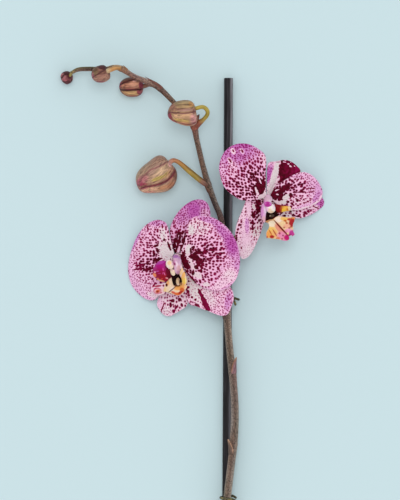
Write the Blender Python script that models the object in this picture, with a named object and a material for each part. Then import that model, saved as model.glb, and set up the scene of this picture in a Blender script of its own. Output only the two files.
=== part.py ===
"""A cut orchid flower spike, laid on its back with the cane that it is tied to.

Frame: +Y runs along the cane from the cut ends to its top, +X to the right and +Z up, away from the surface
that the spike lies on, so that the open flowers look up. The origin is the bottom centre of the whole
spike's box. Lengths are written in millimetres and turned to metres by MM.

The stem, the pedicels and the ties are round tubes along smooth routes. A tepal is a sheet of rows from its
narrow claw to its tip, where its outline is given by how far it reaches from the flower's centre at each
bearing, and its height is a tilted and gently curved sheet over that plan. Thin pieces are sheets with a
thickness, and pieces that touch keep a gap of about 0.3 mm.
"""

import math

import bmesh
import bpy
from mathutils import Vector

MM = 0.001
GAP = 0.3

TIE_RADIUS = 0.9
TIE_SLACK = 0.1
CANE_RADIUS = 3.35
CANE_FOOT = Vector((-1.1, -20.0, CANE_RADIUS + 2 * TIE_RADIUS + GAP))
CANE_TOP = Vector((0.4, 316.5, CANE_FOOT.z))
CANE_BEVEL = 0.5
CANE_SIDES = 16
STEM_SIDES = 10
TUBE_SIDES = 8

PEDICEL_RADIUS = 1.65
TIP_PEDICEL_RADIUS = 0.9
NECK_RADIUS = 2.0
RECEPTACLE_RADIUS = 2.7
CLAW_RADIUS = RECEPTACLE_RADIUS + 0.5
TEPAL_THICKNESS = 0.9
LIP_THICKNESS = 0.8
BRACT_THICKNESS = 0.6
TEPAL_SPANS = 8
TIP_POINTS = 4
CURL_REACH = 45.0
LIP_RINGS = (0.12, 0.4, 0.7, 1.0)
LIP_SWEEP = 1.3
COLUMN_FOOT_RADIUS = 2.1
COLUMN_FOOT_RISES = (3.1, 4.1)
PEDICEL_HEAD_RISES = (-7.0, -3.8, 0.0, 2.1, 2.6)

# Where the stem's centre line passes: x, y, z and the stem's radius there. It is thicker at each joint.
STEM_STATIONS = {
    "cut_end": (-1.7, -16.0, 12.3, 3.0),
    "lower_tie": (-0.6, 2.0, 12.3, 2.95),
    "low_bend": (1.6, 21.0, 12.2, 2.9),
    "below_lower_bract": (2.9, 32.0, 12.1, 2.95),
    "lower_bract": (4.1, 42.0, 11.8, 3.1),
    "belly": (5.1, 57.0, 11.4, 3.05),
    "belly_top": (5.1, 71.0, 11.4, 2.95),
    "below_upper_bract": (4.2, 85.0, 11.7, 2.85),
    "upper_bract": (3.2, 96.0, 12.0, 3.0),
    "above_upper_bract": (2.0, 106.0, 12.2, 2.8),
    "crossing": (-0.3, 130.0, 12.3, 2.75),
    "flower_a_joint": (-1.0, 142.0, 12.3, 2.9),
    "upper_tie": (-1.5, 153.0, 12.2, 2.6),
    "between_flowers": (-2.4, 172.0, 12.1, 2.5),
    "flower_b_joint": (-3.1, 188.0, 12.1, 2.75),
    "leaves_cane": (-5.3, 210.5, 12.3, 2.3),
    "free_bend": (-9.6, 222.0, 12.7, 2.2),
    "bud_1_joint": (-14.8, 236.5, 13.1, 2.4),
    "rise": (-19.1, 251.5, 13.5, 2.1),
    "rise_top": (-23.3, 270.0, 14.1, 2.1),
    "bud_2_joint": (-25.4, 279.5, 14.5, 2.5),
    "arch_start": (-31.6, 289.4, 15.1, 1.95),
    "arch_middle": (-40.2, 297.6, 15.7, 1.9),
    "bud_3_joint": (-51.2, 308.4, 16.1, 2.2),
    "arch_end": (-61.0, 313.6, 16.1, 2.1),
    "before_bud_4": (-70.5, 317.6, 15.6, 1.9),
    "bud_4_joint": (-80.0, 323.2, 14.6, 2.2),
    "hump": (-85.5, 324.3, 13.8, 1.9),
    "after_hump": (-92.5, 322.9, 12.8, 1.8),
    "tip_run": (-104.0, 323.2, 11.2, 1.75),
    "tip_bend": (-112.0, 322.8, 10.4, 1.6),
    "tip_end": (-117.0, 320.6, 9.8, 1.25),
}

MATERIALS = {
    "cane_black": ((0.018, 0.017, 0.018), 0.4),
    "tie_green": ((0.09, 0.085, 0.04), 0.7),
    "stem_brown": ((0.16, 0.105, 0.075), 0.5),
    "bract_pink": ((0.36, 0.17, 0.13), 0.5),
    "pedicel_olive": ((0.36, 0.3, 0.08), 0.5),
    "bud_tan": ((0.4, 0.25, 0.17), 0.5),
    "petal_pink": ((0.68, 0.33, 0.52), 0.5),
    "column_blush": ((0.72, 0.45, 0.6), 0.4),
    "cap_cream": ((0.8, 0.66, 0.5), 0.4),
    "lip_yellow": ((0.75, 0.38, 0.15), 0.45),
}


# ---------------------------------------------------------------- meshes


def material(slot):
    """The slot's Principled BSDF material, made once."""
    made = bpy.data.materials.get(slot)
    if made is None:
        colour, roughness = MATERIALS[slot]
        made = bpy.data.materials.new(slot)
        made.use_nodes = True
        shader = made.node_tree.nodes["Principled BSDF"]
        shader.inputs["Base Color"].default_value = (*colour, 1.0)
        shader.inputs["Roughness"].default_value = roughness
    return made


def finished(name, bm, slot):
    """The object that a mesh being worked on becomes, with its slot's material."""
    mesh = bpy.data.meshes.new(name)
    bm.to_mesh(mesh)
    bm.free()
    mesh.shade_smooth()
    mesh.materials.append(material(slot))
    obj = bpy.data.objects.new(name, mesh)
    bpy.context.scene.collection.objects.link(obj)
    return obj


def skin(name, rows, slot, rings=False, capped=(False, False), thickness=0.0):
    """An object whose surface runs through rows of points, in millimetres.

    Rings are rows that close on themselves, and a capped end is filled. An open sheet gets its thickness,
    shared to both sides, from a Solidify modifier.
    """
    bm = bmesh.new()
    grid = [[bm.verts.new(point * MM) for point in row] for row in rows]
    columns = len(grid[0]) if rings else len(grid[0]) - 1
    for row, following in zip(grid, grid[1:]):
        for k in range(columns):
            j = (k + 1) % len(row)
            bm.faces.new((row[k], row[j], following[j], following[k]))
    for end, wanted in zip((grid[0], grid[-1]), capped):
        if wanted:
            bm.faces.new(end)
    bmesh.ops.recalc_face_normals(bm, faces=bm.faces)
    obj = finished(name, bm, slot)
    if thickness:
        solidify = obj.modifiers.new("thickness", "SOLIDIFY")
        solidify.thickness = thickness * MM
        solidify.offset = 0.0
    return obj


def slab(name, rows, slot, thickness):
    """A closed object as thick as stated, measured upwards, whose middle runs through rows of points."""
    bm = bmesh.new()
    lift = Vector((0.0, 0.0, thickness / 2))
    upper = [[bm.verts.new((point + lift) * MM) for point in row] for row in rows]
    lower = [[bm.verts.new((point - lift) * MM) for point in row] for row in rows]
    for grid in (upper, lower):
        for row, following in zip(grid, grid[1:]):
            for k in range(len(row) - 1):
                bm.faces.new((row[k], row[k + 1], following[k + 1], following[k]))
    for over, under in ((upper, lower), (list(zip(*upper)), list(zip(*lower)))):
        for end in (0, -1):
            for k in range(len(over[end]) - 1):
                bm.faces.new((over[end][k], over[end][k + 1], under[end][k + 1], under[end][k]))
    bmesh.ops.recalc_face_normals(bm, faces=bm.faces)
    return finished(name, bm, slot)


def smooth_route(points, per_span):
    """Points along a Catmull-Rom curve through the given vectors, of any number of coordinates."""
    ends = [points[0] * 2 - points[1], *points, points[-1] * 2 - points[-2]]
    route = []
    for before, start, end, after in zip(ends, ends[1:], ends[2:], ends[3:]):
        for step in range(per_span):
            t = step / per_span
            bend = before * 2 - start * 5 + end * 4 - after
            twist = start * 3 - before - end * 3 + after
            route.append((start * 2 + (end - before) * t + bend * t**2 + twist * t**3) / 2)
    return [*route, points[-1]]


def tube(name, route, radii, slot, sides=TUBE_SIDES):
    """A round tube with flat ends along a route, with a radius for each of its points."""
    rings = []
    side = (route[1] - route[0]).orthogonal().normalized()
    for i, centre in enumerate(route):
        along = (route[min(i + 1, len(route) - 1)] - route[max(i - 1, 0)]).normalized()
        side = (side - along * side.dot(along)).normalized()
        other = along.cross(side)
        turns = [math.tau * k / sides for k in range(sides)]
        rings.append([centre + (side * math.cos(turn) + other * math.sin(turn)) * radii[i] for turn in turns])
    return skin(name, rings, slot, rings=True, capped=(True, True))


# ---------------------------------------------------------------- cane, stem and ties


def build_cane():
    """The round cane, straight and slightly bevelled at both ends."""
    axis = (CANE_TOP - CANE_FOOT).normalized() * CANE_BEVEL
    route = [CANE_FOOT, CANE_FOOT + axis, CANE_TOP - axis, CANE_TOP]
    narrow = CANE_RADIUS - CANE_BEVEL
    tube("support_cane", route, [narrow, CANE_RADIUS, CANE_RADIUS, narrow], "cane_black", CANE_SIDES)


def cane_centre(y):
    """The cane's centre at a place along it."""
    return CANE_FOOT.lerp(CANE_TOP, (y - CANE_FOOT.y) / (CANE_TOP.y - CANE_FOOT.y))


STEM_SPANS = 2
STEM_ROUTE = smooth_route([Vector(station) for station in STEM_STATIONS.values()], STEM_SPANS)


def stem_at(station, further):
    """The stem's centre, direction and radius at a distance along it from one of its stations."""
    i = list(STEM_STATIONS).index(station) * STEM_SPANS
    step = 1 if further > 0 else -1
    left = abs(further)
    while True:
        i_next = i + step
        span = (STEM_ROUTE[i_next].xyz - STEM_ROUTE[i].xyz).length
        if left <= span:
            break
        left -= span
        i = i_next
    here = STEM_ROUTE[i].lerp(STEM_ROUTE[i_next], left / span)
    along = (STEM_ROUTE[i_next].xyz - STEM_ROUTE[i].xyz).normalized() * step
    return here.xyz, along, here.w


def build_stem():
    """The stem, and the slightly fatter cutter that keeps the pedicels' ends clear of it."""
    route = [point.xyz for point in STEM_ROUTE]
    tube("flower_stem", route, [point.w for point in STEM_ROUTE], "stem_brown", STEM_SIDES)
    past_tip = route[-1] + (route[-1] - route[-2]).normalized() * GAP
    radii = [point.w + GAP for point in STEM_ROUTE]
    cutter = tube("stem_clearance", [*route, past_tip], [*radii, radii[-1]], "stem_brown", STEM_SIDES)
    cutter.hide_render = True
    cutter.display_type = "WIRE"
    return cutter


def build_tie(name, y, half_pitch, ends):
    """A soft wire that goes once round the cane and the stem and leaves its two ends sticking out."""
    cane = cane_centre(y)
    stem = min(STEM_ROUTE, key=lambda point: abs(point.y - y))
    under = CANE_RADIUS + GAP + TIE_RADIUS
    over = stem.w + GAP + TIE_RADIUS + TIE_SLACK
    turns = [(cane, under, math.radians(a)) for a in (10, -20, -55, -90, -125, -160, -190)]
    turns += [(stem, over, math.radians(a)) for a in (170, 135, 90, 45, 5)]
    points = [Vector(ends[0])]
    for i, (bar, reach, angle) in enumerate(turns):
        shift = half_pitch * (1 - 2 * i / (len(turns) - 1))
        points.append(Vector((bar.x + reach * math.cos(angle), y + shift, bar.z + reach * math.sin(angle))))
    points.append(Vector(ends[1]))
    route = smooth_route(points, 2)
    tube(name, route, [TIE_RADIUS] * len(route), "tie_green", 6)


BRACT_SPANS = 6
BRACT_ROWS = 4
BRACT_CLEARANCE = 0.15
BRACT_NARROWING = 0.85


def build_bract(name, station, start, length, facing, half_wrap, flare):
    """A scale that hugs the stem from a ring at its foot up to a point that stands off it by the flare."""
    rows = []
    for i in range(BRACT_ROWS + 1):
        v = i / BRACT_ROWS
        centre, along, radius = stem_at(station, start + length * v)
        front = Vector(facing)
        front = (front - along * front.dot(along)).normalized()
        side = along.cross(front)
        reach = radius + GAP + BRACT_CLEARANCE + BRACT_THICKNESS / 2 + flare * v * v
        wrap = math.radians(half_wrap) * (1 - BRACT_NARROWING * v**1.5)
        turns = [wrap * (2 * k / BRACT_SPANS - 1) for k in range(BRACT_SPANS + 1)]
        rows.append([centre + (front * math.cos(turn) + side * math.sin(turn)) * reach for turn in turns])
    skin(name, rows, "bract_pink", thickness=BRACT_THICKNESS)


# ---------------------------------------------------------------- pedicels and buds


def build_pedicel(name, points, radii, cutter):
    """A pedicel whose foot is cut to the stem that it grows from. Points and radii go from foot to head."""
    stations = [Vector((*point, radius)) for point, radius in zip(points, radii)]
    route = smooth_route(stations, 3)
    obj = tube(name, [point.xyz for point in route], [point.w for point in route], "pedicel_olive")
    cut = obj.modifiers.new("clear_of_stem", "BOOLEAN")
    cut.operation = "DIFFERENCE"
    cut.object = cutter


BUD_SIDES = 15
BUD_ROWS = 11
BUD_ENDS = (0.03, 0.98)
BUD_BLUNTNESS = 0.7
BUD_TAPER = 0.35
LOBE_DEPTH = 0.045
PIT_SHARE = 0.55


def build_bud(name, base, tip, radius, turn, pit):
    """A closed bud: an egg with three lobes, a blunt tip and a pit where its pedicel meets it."""
    base, tip = Vector(base), Vector(tip)
    axis = (tip - base).normalized()
    length = (tip - base).length + pit
    front = (Vector((0, 0, 1)) - axis * axis.z).normalized()
    side = axis.cross(front)
    rings = []
    for i in range(BUD_ROWS + 1):
        t = BUD_ENDS[0] + (BUD_ENDS[1] - BUD_ENDS[0]) * i / BUD_ROWS
        ahead = -pit + length * (1 - math.cos(math.pi * t)) / 2
        reach = radius * math.sin(math.pi * t) ** (BUD_BLUNTNESS + BUD_TAPER * t)
        if t < 0.5:
            ahead += pit * math.exp(-((reach / (PIT_SHARE * radius)) ** 2))
        ring = []
        for k in range(BUD_SIDES):
            angle = math.tau * k / BUD_SIDES
            out = reach * (1 + LOBE_DEPTH * math.cos(3 * (angle - math.radians(turn))))
            ring.append(base + axis * ahead + (front * math.cos(angle) + side * math.sin(angle)) * out)
        rings.append(ring)
    skin(name, rings, "bud_tan", rings=True, capped=(True, True))


# ---------------------------------------------------------------- flowers


class Flower:
    """Where a flower stands and the direction that it looks in."""

    def __init__(self, centre, looks):
        self.centre = Vector(centre)
        self.out = Vector(looks).normalized()

    def height(self, x, y):
        """How far its plane stands over its centre at a place in plan."""
        return -(self.out.x * x + self.out.y * y) / self.out.z

    def above(self, x, y, rise):
        """The point at a place in plan, counted from its centre, that is a height above its plane."""
        return self.centre + Vector((x, y, self.height(x, y) + rise))


FLOWERS = {
    "flower_a": Flower((-37.9, 182.25, 22.0), looks=(-0.36, -0.08, 1.0)),
    "flower_b": Flower((29.25, 225.75, 28.0), looks=(0.5, -0.08, 1.0)),
}

# Each tepal: its outline as (bearing in degrees anticlockwise from +X, reach in millimetres), the layer above
# or below the flower's plane, the lean away from that plane for each millimetre outwards, how far it has
# curved back at CURL_REACH, and how far its middle is folded up.
TEPALS = {
    "flower_a_left_petal": (
        ((127, 4.5), (111, 15), (108, 23.6), (110, 28), (119, 31.8), (134, 33.6), (151, 33.8), (168, 34.4),
         (184, 36.4), (198, 38.6), (211, 40.1), (224, 40), (236, 38.8), (243, 35), (246, 25), (242, 13), (228, 5)),
        1.6, -0.13, 5.0, 0.0,
    ),
    "flower_a_right_petal": (
        ((58, 4.5), (64, 13), (70, 19.2), (72, 25.7), (69, 31.2), (61, 35.3), (50, 39.2), (37, 42), (22, 44.6),
         (7, 46.2), (-7, 47), (-20, 46.8), (-31, 44.2), (-41, 38.6), (-49, 30.5), (-56, 22), (-60, 13), (-48, 5)),
        1.6, -0.02, 5.0, 0.0,
    ),
    "flower_a_dorsal_sepal": (
        ((121, 4.5), (112, 12), (106, 20.7), (98, 26.8), (90, 33), (82, 39), (75, 43.6), (69, 46.2), (63, 46.6),
         (57, 44), (50, 38), (44, 29.5), (43, 19), (49, 10), (66, 4.5)),
        -1.0, -0.2, 4.0, 0.0,
    ),
    "flower_a_right_lateral_sepal": (
        ((-83, 5), (-80, 15), (-78, 27), (-76, 35.6), (-69, 39.6), (-61, 45.8), (-54, 54), (-49, 56.9),
         (-43, 55), (-36, 52), (-30, 46), (-26, 36), (-24, 24), (-22, 12), (-14, 5)),
        -1.0, -0.10, 3.0, 0.0,
    ),
    "flower_a_left_lateral_sepal": (
        ((228, 5), (240, 13), (244, 26), (246, 37.4), (252, 42.2), (258, 44.8), (263, 44.6), (268, 42.2),
         (275, 39.3), (282, 36), (285, 28), (284, 15), (274, 5)),
        -3.0, -0.13, 3.0, 0.0,
    ),
    "flower_b_left_petal": (
        ((100, 4.5), (93.8, 18), (92, 31.2), (100, 37.8), (110, 43.6), (121, 47.3),
         (133, 47.3), (145, 43.8), (156, 38), (166, 32.3), (176, 24.5), (184, 17.8), (188, 10), (176, 4.5)),
        1.6, -0.12, 4.0, 0.0,
    ),
    "flower_b_right_petal": (
        ((52, 4.5), (56, 11.7), (47, 18.7), (42, 27.5), (36, 34), (27, 38.2), (16, 40.9), (6, 41.8),
         (-3, 39), (-11, 31.8), (-19, 25.2), (-28, 17), (-30, 10), (-18, 4.5)),
        1.6, -0.02, 4.0, 0.0,
    ),
    "flower_b_dorsal_sepal": (
        ((94, 4.5), (90.5, 15), (88.5, 26.2), (77, 28.6), (66, 32), (57, 33.2), (48, 33.2), (40, 32.6),
         (34, 27), (34, 18), (38, 10), (46, 4.5)),
        -1.2, -0.06, 1.0, -2.5,
    ),
    "flower_b_right_lateral_sepal": (
        ((-8, 4.5), (3, 14), (6, 28), (5, 38), (0, 42), (-6, 42.6), (-13, 38.8), (-21, 34), (-30, 28.8),
         (-39, 22), (-50, 15), (-58, 9), (-50, 4.5)),
        -1.4, -0.065, 2.0, 0.0,
    ),
    "flower_b_left_lateral_sepal": (
        ((170, 5), (148, 10), (146, 15.4), (166, 15.4), (188, 16.6), (206, 21), (219, 29), (229, 36.5),
         (239, 42.4), (247, 48.6), (253, 43.6), (257, 32), (261, 20), (258, 9), (236, 4.5)),
        -1.4, -0.2, 3.0, 3.0,
    ),
}

# Each lip: its throat in plan and how high that is above the flower's plane, then its rim as (bearing, reach,
# rise above the throat). The two side lobes stand up beside the column and the middle lobe points outwards.
LIPS = {
    "flower_a_lip": (
        (0.4, -14.2, 4.6),
        ((94, 11.0, -2.4), (106, 9, 0.5), (117, 11.8, 4.5), (128, 14.6, 4), (146, 18, 2), (166, 19.2, 1),
         (182, 18.6, 0.5), (196, 15, 0.5), (205, 12, 0.8), (214, 17.5, 0.5), (222, 18.5, 1), (234, 16, 2.5),
         (252, 15.2, 4), (274, 15.2, 4.5), (300, 12.6, 4), (322, 9.6, 4.5), (348, 6.8, 6), (20, 5.4, 7),
         (50, 7, 7.5), (67, 9.8, 7), (80, 8, 1)),
    ),
    "flower_b_lip": (
        (3.0, -12.8, 4.6),
        ((102, 9.8, -2.4), (118, 7.8, -0.5), (129, 9.4, 4.5), (162, 7.4, 4.5), (209, 7.6, 3), (238, 8, 3),
         (252, 13.4, 4), (259, 16.6, 4.5), (270, 16.8, 5), (285, 19, 5.5), (297, 21.6, 5.5), (307, 21.8, 5.5),
         (318, 22.4, 6), (327, 20.8, 5.5), (340, 17, 5), (356, 16.6, 5), (13, 15.4, 5.5), (27, 15, 6),
         (45, 11.6, 7), (66, 8.4, 5.5), (84, 7.2, 0)),
    ),
}

# Each column: its points in plan and above the flower's plane with the radius there, then its cap's centre.
COLUMNS = {
    "flower_a": (
        ((-1.4, -1.2, 6.0, 2.2), (-1.3, -2.6, 7.6, 2.3), (-1.5, -3.9, 9.0, 2.4), (-2.8, -4.7, 10.2, 2.2)),
        (-5.8, -5.5, 12.0),
    ),
    "flower_b": (
        ((2.0, -1.2, 6.0, 2.2), (2.1, -2.9, 7.6, 2.4), (2.2, -4.8, 9.2, 2.6), (2.5, -6.4, 10.3, 2.3)),
        (3.9, -9.2, 11.2),
    ),
}


def tepal_plan(rim, claw):
    """Rows of points in plan from a tepal's claw to its tip, which keep to its outline all round.

    A row runs straight from the one side to the other. It is then bent as far as the claw or the tip is bent
    off its own straight line, shared by how near the row is to either.
    """
    tip_count = TIP_POINTS + len(rim) % 2
    steps = (len(rim) - tip_count) // 2
    left = [claw[0], *rim[:steps + 1]]
    right = [claw[-1], *rim[::-1][:steps + 1]]
    tip = resampled(rim[steps:len(rim) - steps], TEPAL_SPANS)
    rows = []
    for i, (one, other) in enumerate(zip(left, right)):
        t = i / (steps + 1)
        row = []
        for k in range(TEPAL_SPANS + 1):
            u = k / TEPAL_SPANS
            claw_bend = claw[k] - claw[0].lerp(claw[-1], u)
            tip_bend = tip[k] - tip[0].lerp(tip[-1], u)
            row.append(one.lerp(other, u) + claw_bend * (1 - t) + tip_bend * t)
        rows.append(row)
    return rows


def resampled(points, spans):
    """Points at even steps along a row of points, counted in points."""
    places = [(len(points) - 1) * k / spans for k in range(spans + 1)]
    return [points[int(p)].lerp(points[min(int(p) + 1, len(points) - 1)], p - int(p)) for p in places]


def build_tepal(name, flower, outline, layer, lean, curl, fold):
    """A tepal: rows from its claw, which is an arc beside the receptacle, out to its tip."""
    rim = [Vector((math.cos(math.radians(b)), math.sin(math.radians(b)))) * reach for b, reach in outline]
    shift = flower.out.xy * layer
    ends = [rim[0].lerp(rim[-1], k / TEPAL_SPANS).normalized() for k in range(TEPAL_SPANS + 1)]
    plan = tepal_plan(rim, [shift + end * CLAW_RADIUS for end in ends])
    rows = []
    for i, places in enumerate(plan):
        row = []
        for k, place in enumerate(places):
            distance = place.length
            middle = 1 - abs(2 * k / TEPAL_SPANS - 1)
            rise = layer + lean * distance - curl * (distance / CURL_REACH) ** 2
            row.append(flower.above(place.x, place.y, rise + fold * middle * i / (len(plan) - 1)))
        rows.append(row)
    slab(name, rows, "petal_pink", TEPAL_THICKNESS)


def build_lip(name, flower, throat, rim):
    """A lip: rings from its throat out to a lobed rim that stands above it."""
    x, y, rise = throat
    rings = []
    for v in LIP_RINGS:
        ring = []
        for bearing, reach, lift in rim:
            turn = math.radians(bearing)
            place = Vector((x + reach * v * math.cos(turn), y + reach * v * math.sin(turn)))
            ring.append(flower.above(place.x, place.y, rise + lift * v**LIP_SWEEP))
        rings.append(ring)
    skin(name, rings, "lip_yellow", rings=True, capped=(True, False), thickness=LIP_THICKNESS)


def build_column(name, flower, points, cap):
    """The column, which stands on the receptacle and leans over the lip, and the anther cap on its end."""
    stations = [Vector((*flower.above(x, y, rise), radius)) for x, y, rise, radius in points]
    feet = [Vector((*(flower.centre + flower.out * rise), COLUMN_FOOT_RADIUS)) for rise in COLUMN_FOOT_RISES]
    route = [*feet, *stations]
    tube(f"{name}_column", [point.xyz for point in route], [point.w for point in route], "column_blush", 10)
    end, before = stations[-1].xyz, stations[-2].xyz
    centre = flower.above(*cap)
    build_cap(f"{name}_anther_cap", centre, (end - before).normalized())


CAP_RADII = (2.6, 2.9, 2.1)
CAP_SIDES = 10
CAP_ROWS = 7


def build_cap(name, centre, ahead):
    """A small rounded cap, slightly longer than it is wide."""
    side = ahead.cross(Vector((0, 0, 1))).normalized()
    up = side.cross(ahead)
    long, wide, high = CAP_RADII
    turns = [math.tau * k / CAP_SIDES for k in range(CAP_SIDES)]
    rings = []
    for i in range(1, CAP_ROWS):
        polar = math.pi * i / CAP_ROWS
        rings.append([
            centre - ahead * long * math.cos(polar)
            + (side * wide * math.cos(turn) + up * high * math.sin(turn)) * math.sin(polar)
            for turn in turns
        ])
    skin(name, rings, "cap_cream", rings=True, capped=(True, True))


def build_flower(name, foot_points, cutter):
    """One open flower with its pedicel. The foot points lead from the stem to behind the flower."""
    flower = FLOWERS[name]
    behind = [flower.centre + flower.out * rise for rise in PEDICEL_HEAD_RISES]
    radii = [PEDICEL_RADIUS] * len(foot_points) + [NECK_RADIUS, *[RECEPTACLE_RADIUS] * 4]
    build_pedicel(f"{name}_pedicel", [*foot_points, *behind], radii, cutter)
    for tepal, shape in TEPALS.items():
        if tepal.startswith(name):
            build_tepal(tepal, flower, *shape)
    build_lip(f"{name}_lip", flower, *LIPS[f"{name}_lip"])
    build_column(name, flower, *COLUMNS[name])


# ---------------------------------------------------------------- the whole spike


# Where the pedicels' centre lines pass: x, y and z, from the stem outwards.
PEDICEL_FEET = {
    "flower_a": (
        (-1.0, 142.0, 12.3), (-5.5, 146.5, 11.5), (-13.0, 154.5, 9.6), (-21.5, 163.5, 8.6),
        (-29.5, 173.0, 9.4),
    ),
    "flower_b": (
        (-3.1, 188.0, 12.1), (3.0, 194.0, 14.0), (9.5, 201.0, 16.0), (16.0, 209.0, 17.4),
        (21.5, 218.0, 18.6),
    ),
}

BUD_PEDICELS = {
    "bud_1_pedicel": (
        (-14.8, 236.5, 13.1), (-19.6, 239.0, 13.0), (-28.4, 246.1, 13.2), (-35.6, 252.3, 13.4),
        (-39.4, 254.4, 13.5), (-41.8, 254.4, 13.5), (-43.3, 253.2, 13.5),
    ),
    "bud_2_pedicel": (
        (-25.4, 279.5, 14.5), (-21.6, 280.6, 15.4), (-17.8, 285.2, 18.2), (-16.0, 290.6, 22.4),
        (-17.6, 293.8, 25.8), (-20.6, 294.0, 27.6), (-23.3, 292.8, 27.9),
    ),
    "bud_3_pedicel": ((-54.5, 310.4, 16.1), (-57.0, 308.8, 12.2), (-60.0, 308.9, 9.4), (-62.8, 309.4, 8.3)),
    "bud_4_pedicel": (
        (-81.0, 323.6, 14.4), (-82.4, 324.0, 18.4), (-84.4, 323.6, 22.2), (-87.4, 322.5, 24.3),
        (-90.5, 321.2, 23.4),
    ),
    "bud_5_pedicel": ((-117.0, 320.6, 9.8), (-117.6, 319.5, 9.2), (-118.2, 318.4, 8.6)),
}

# Each bud: its base, its tip, its widest radius, the bearing of its first lobe and how deep its pit is.
BUDS = {
    "bud_1": ((-43.6, 252.9, 13.5), (-66.2, 232.2, 13.4), 13.3, 155, 3.0),
    "bud_2": ((-24.2, 292.2, 27.9), (-45.2, 288.2, 27.7), 10.0, 25, 1.5),
    "bud_3": ((-63.4, 309.6, 8.1), (-81.6, 310.2, 7.2), 7.6, 150, 1.0),
    "bud_4": ((-90.9, 321.0, 23.2), (-101.6, 316.6, 19.6), 6.3, 90, 0.6),
    "bud_5": ((-118.4, 318.0, 8.2), (-123.6, 315.4, 3.2), 5.0, 40, 0.5),
}

# Each bract: its station, where along the stem it starts from there, its length, the side of the stem
# that it is on, half of how far round the stem it wraps in degrees, and how far its point stands off.
BRACTS = {
    "lower_bract": ("lower_bract", -8.5, 12.0, (-0.8, 0.0, 0.6), 130, 0.6),
    "upper_bract": ("upper_bract", -3.0, 12.5, (0.9, 0.0, 0.45), 130, 1.0),
    "flower_a_bract": ("flower_a_joint", -6.0, 4.5, (-0.8, 0.0, 0.6), 80, 0.8),
    "flower_b_bract": ("flower_b_joint", -7.5, 5.5, (0.9, 0.0, 0.4), 80, 0.8),
    "bud_1_bract": ("bud_1_joint", -6.5, 5.5, (-1.0, 0.2, 0.3), 80, 0.8),
    "bud_2_bract": ("bud_2_joint", 2.5, 7.5, (0.9, 0.5, 0.0), 60, 2.5),
    "bud_3_bract": ("bud_3_joint", 1.5, 11.0, (0.5, 0.85, 0.1), 75, 0.6),
    "bud_4_bract": ("bud_4_joint", -5.0, 4.6, (0.2, 1.0, 0.1), 75, 0.6),
}


def build_spike():
    """Every piece of the spike."""
    build_cane()
    cutter = build_stem()
    build_tie("lower_tie", 2.0, 1.3, ((8.6, 5.2, 8.4), (9.0, -2.4, 11.0)))
    build_tie("upper_tie", 153.0, 1.3, ((8.8, 150.2, 9.0), (5.9, 145.9, 10.4)))
    for name, bract in BRACTS.items():
        build_bract(name, *bract)
    for name, points in BUD_PEDICELS.items():
        radius = TIP_PEDICEL_RADIUS if name == "bud_5_pedicel" else PEDICEL_RADIUS
        build_pedicel(name, points, [radius] * len(points), cutter)
    for name, bud in BUDS.items():
        build_bud(name, *bud)
    for name, points in PEDICEL_FEET.items():
        build_flower(name, points, cutter)


def seat_at_origin():
    """Slides the spike so that the bottom centre of its box is the origin."""
    pieces = [obj for obj in bpy.data.objects if not obj.hide_render]
    graph = bpy.context.evaluated_depsgraph_get()
    corners = []
    for obj in pieces:
        mesh = obj.evaluated_get(graph).to_mesh()
        corners += [vertex.co.copy() for vertex in mesh.vertices]
    low = Vector(min(corner[axis] for corner in corners) for axis in range(3))
    high = Vector(max(corner[axis] for corner in corners) for axis in range(3))
    middle = (low + high) / 2
    for obj in bpy.data.objects:
        obj.location = Vector((-middle.x, -middle.y, -low.z))


def main():
    for old in list(bpy.data.objects):
        bpy.data.objects.remove(old)
    build_spike()
    seat_at_origin()


main()
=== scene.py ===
"""A cut orchid flower spike on its black cane, laid on its back so that the open flowers look up.

Lengths are in millimetres in one drawing of the spike, whose +Y runs along the cane from the cut ends to the
top and whose +Z points up from the surface that the spike lies on. Every finished mesh is moved from that
drawing into the frame by one offset, worked out from where the frame holds the cane.
"""

import bpy
import numpy as np
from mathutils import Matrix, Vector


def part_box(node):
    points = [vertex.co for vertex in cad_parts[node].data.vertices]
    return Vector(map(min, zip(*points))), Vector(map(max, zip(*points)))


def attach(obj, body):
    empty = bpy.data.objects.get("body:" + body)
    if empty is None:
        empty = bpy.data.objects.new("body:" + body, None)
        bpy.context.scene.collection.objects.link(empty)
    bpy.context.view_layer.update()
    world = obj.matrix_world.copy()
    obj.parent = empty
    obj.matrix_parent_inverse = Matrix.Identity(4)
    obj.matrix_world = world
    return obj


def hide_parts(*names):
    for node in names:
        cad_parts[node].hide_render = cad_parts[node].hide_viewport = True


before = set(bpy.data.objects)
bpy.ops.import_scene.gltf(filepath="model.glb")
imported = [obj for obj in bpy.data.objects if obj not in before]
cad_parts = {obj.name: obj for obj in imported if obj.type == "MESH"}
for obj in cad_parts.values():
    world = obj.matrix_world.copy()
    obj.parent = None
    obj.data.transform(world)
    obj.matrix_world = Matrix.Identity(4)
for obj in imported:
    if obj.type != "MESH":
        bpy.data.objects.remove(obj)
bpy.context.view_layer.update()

# ---------------------------------------------------------------- support cane
# The straight cane that the spike is tied to: split bamboo, rounded and dipped in black lacquer.
# The lacquer follows the wood's long fibres, so its surface is never quite round or even.

CANE_RADIUS = 3.35
CANE_FOOT = np.array([-1.1, -20.0, 5.45])
CANE_TOP = np.array([0.4, 316.5, 5.45])
CANE_SIDES = 40
CANE_ROUNDING = 0.5

low, high = (np.array(corner) * 1000 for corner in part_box("support_cane"))
OFFSET = (low + high) / 2 - (CANE_FOOT + CANE_TOP) / 2


def lengths_along(path):
    """How far along it each point of a path is: the running sum of the distances between its points."""
    steps = np.linalg.norm(np.diff(path[:, :3], axis=0), axis=1)
    return np.concatenate([[0.0], np.cumsum(steps)])


def unit(vectors):
    """The same directions, each one long."""
    return vectors / np.linalg.norm(vectors, axis=-1, keepdims=True)


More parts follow.
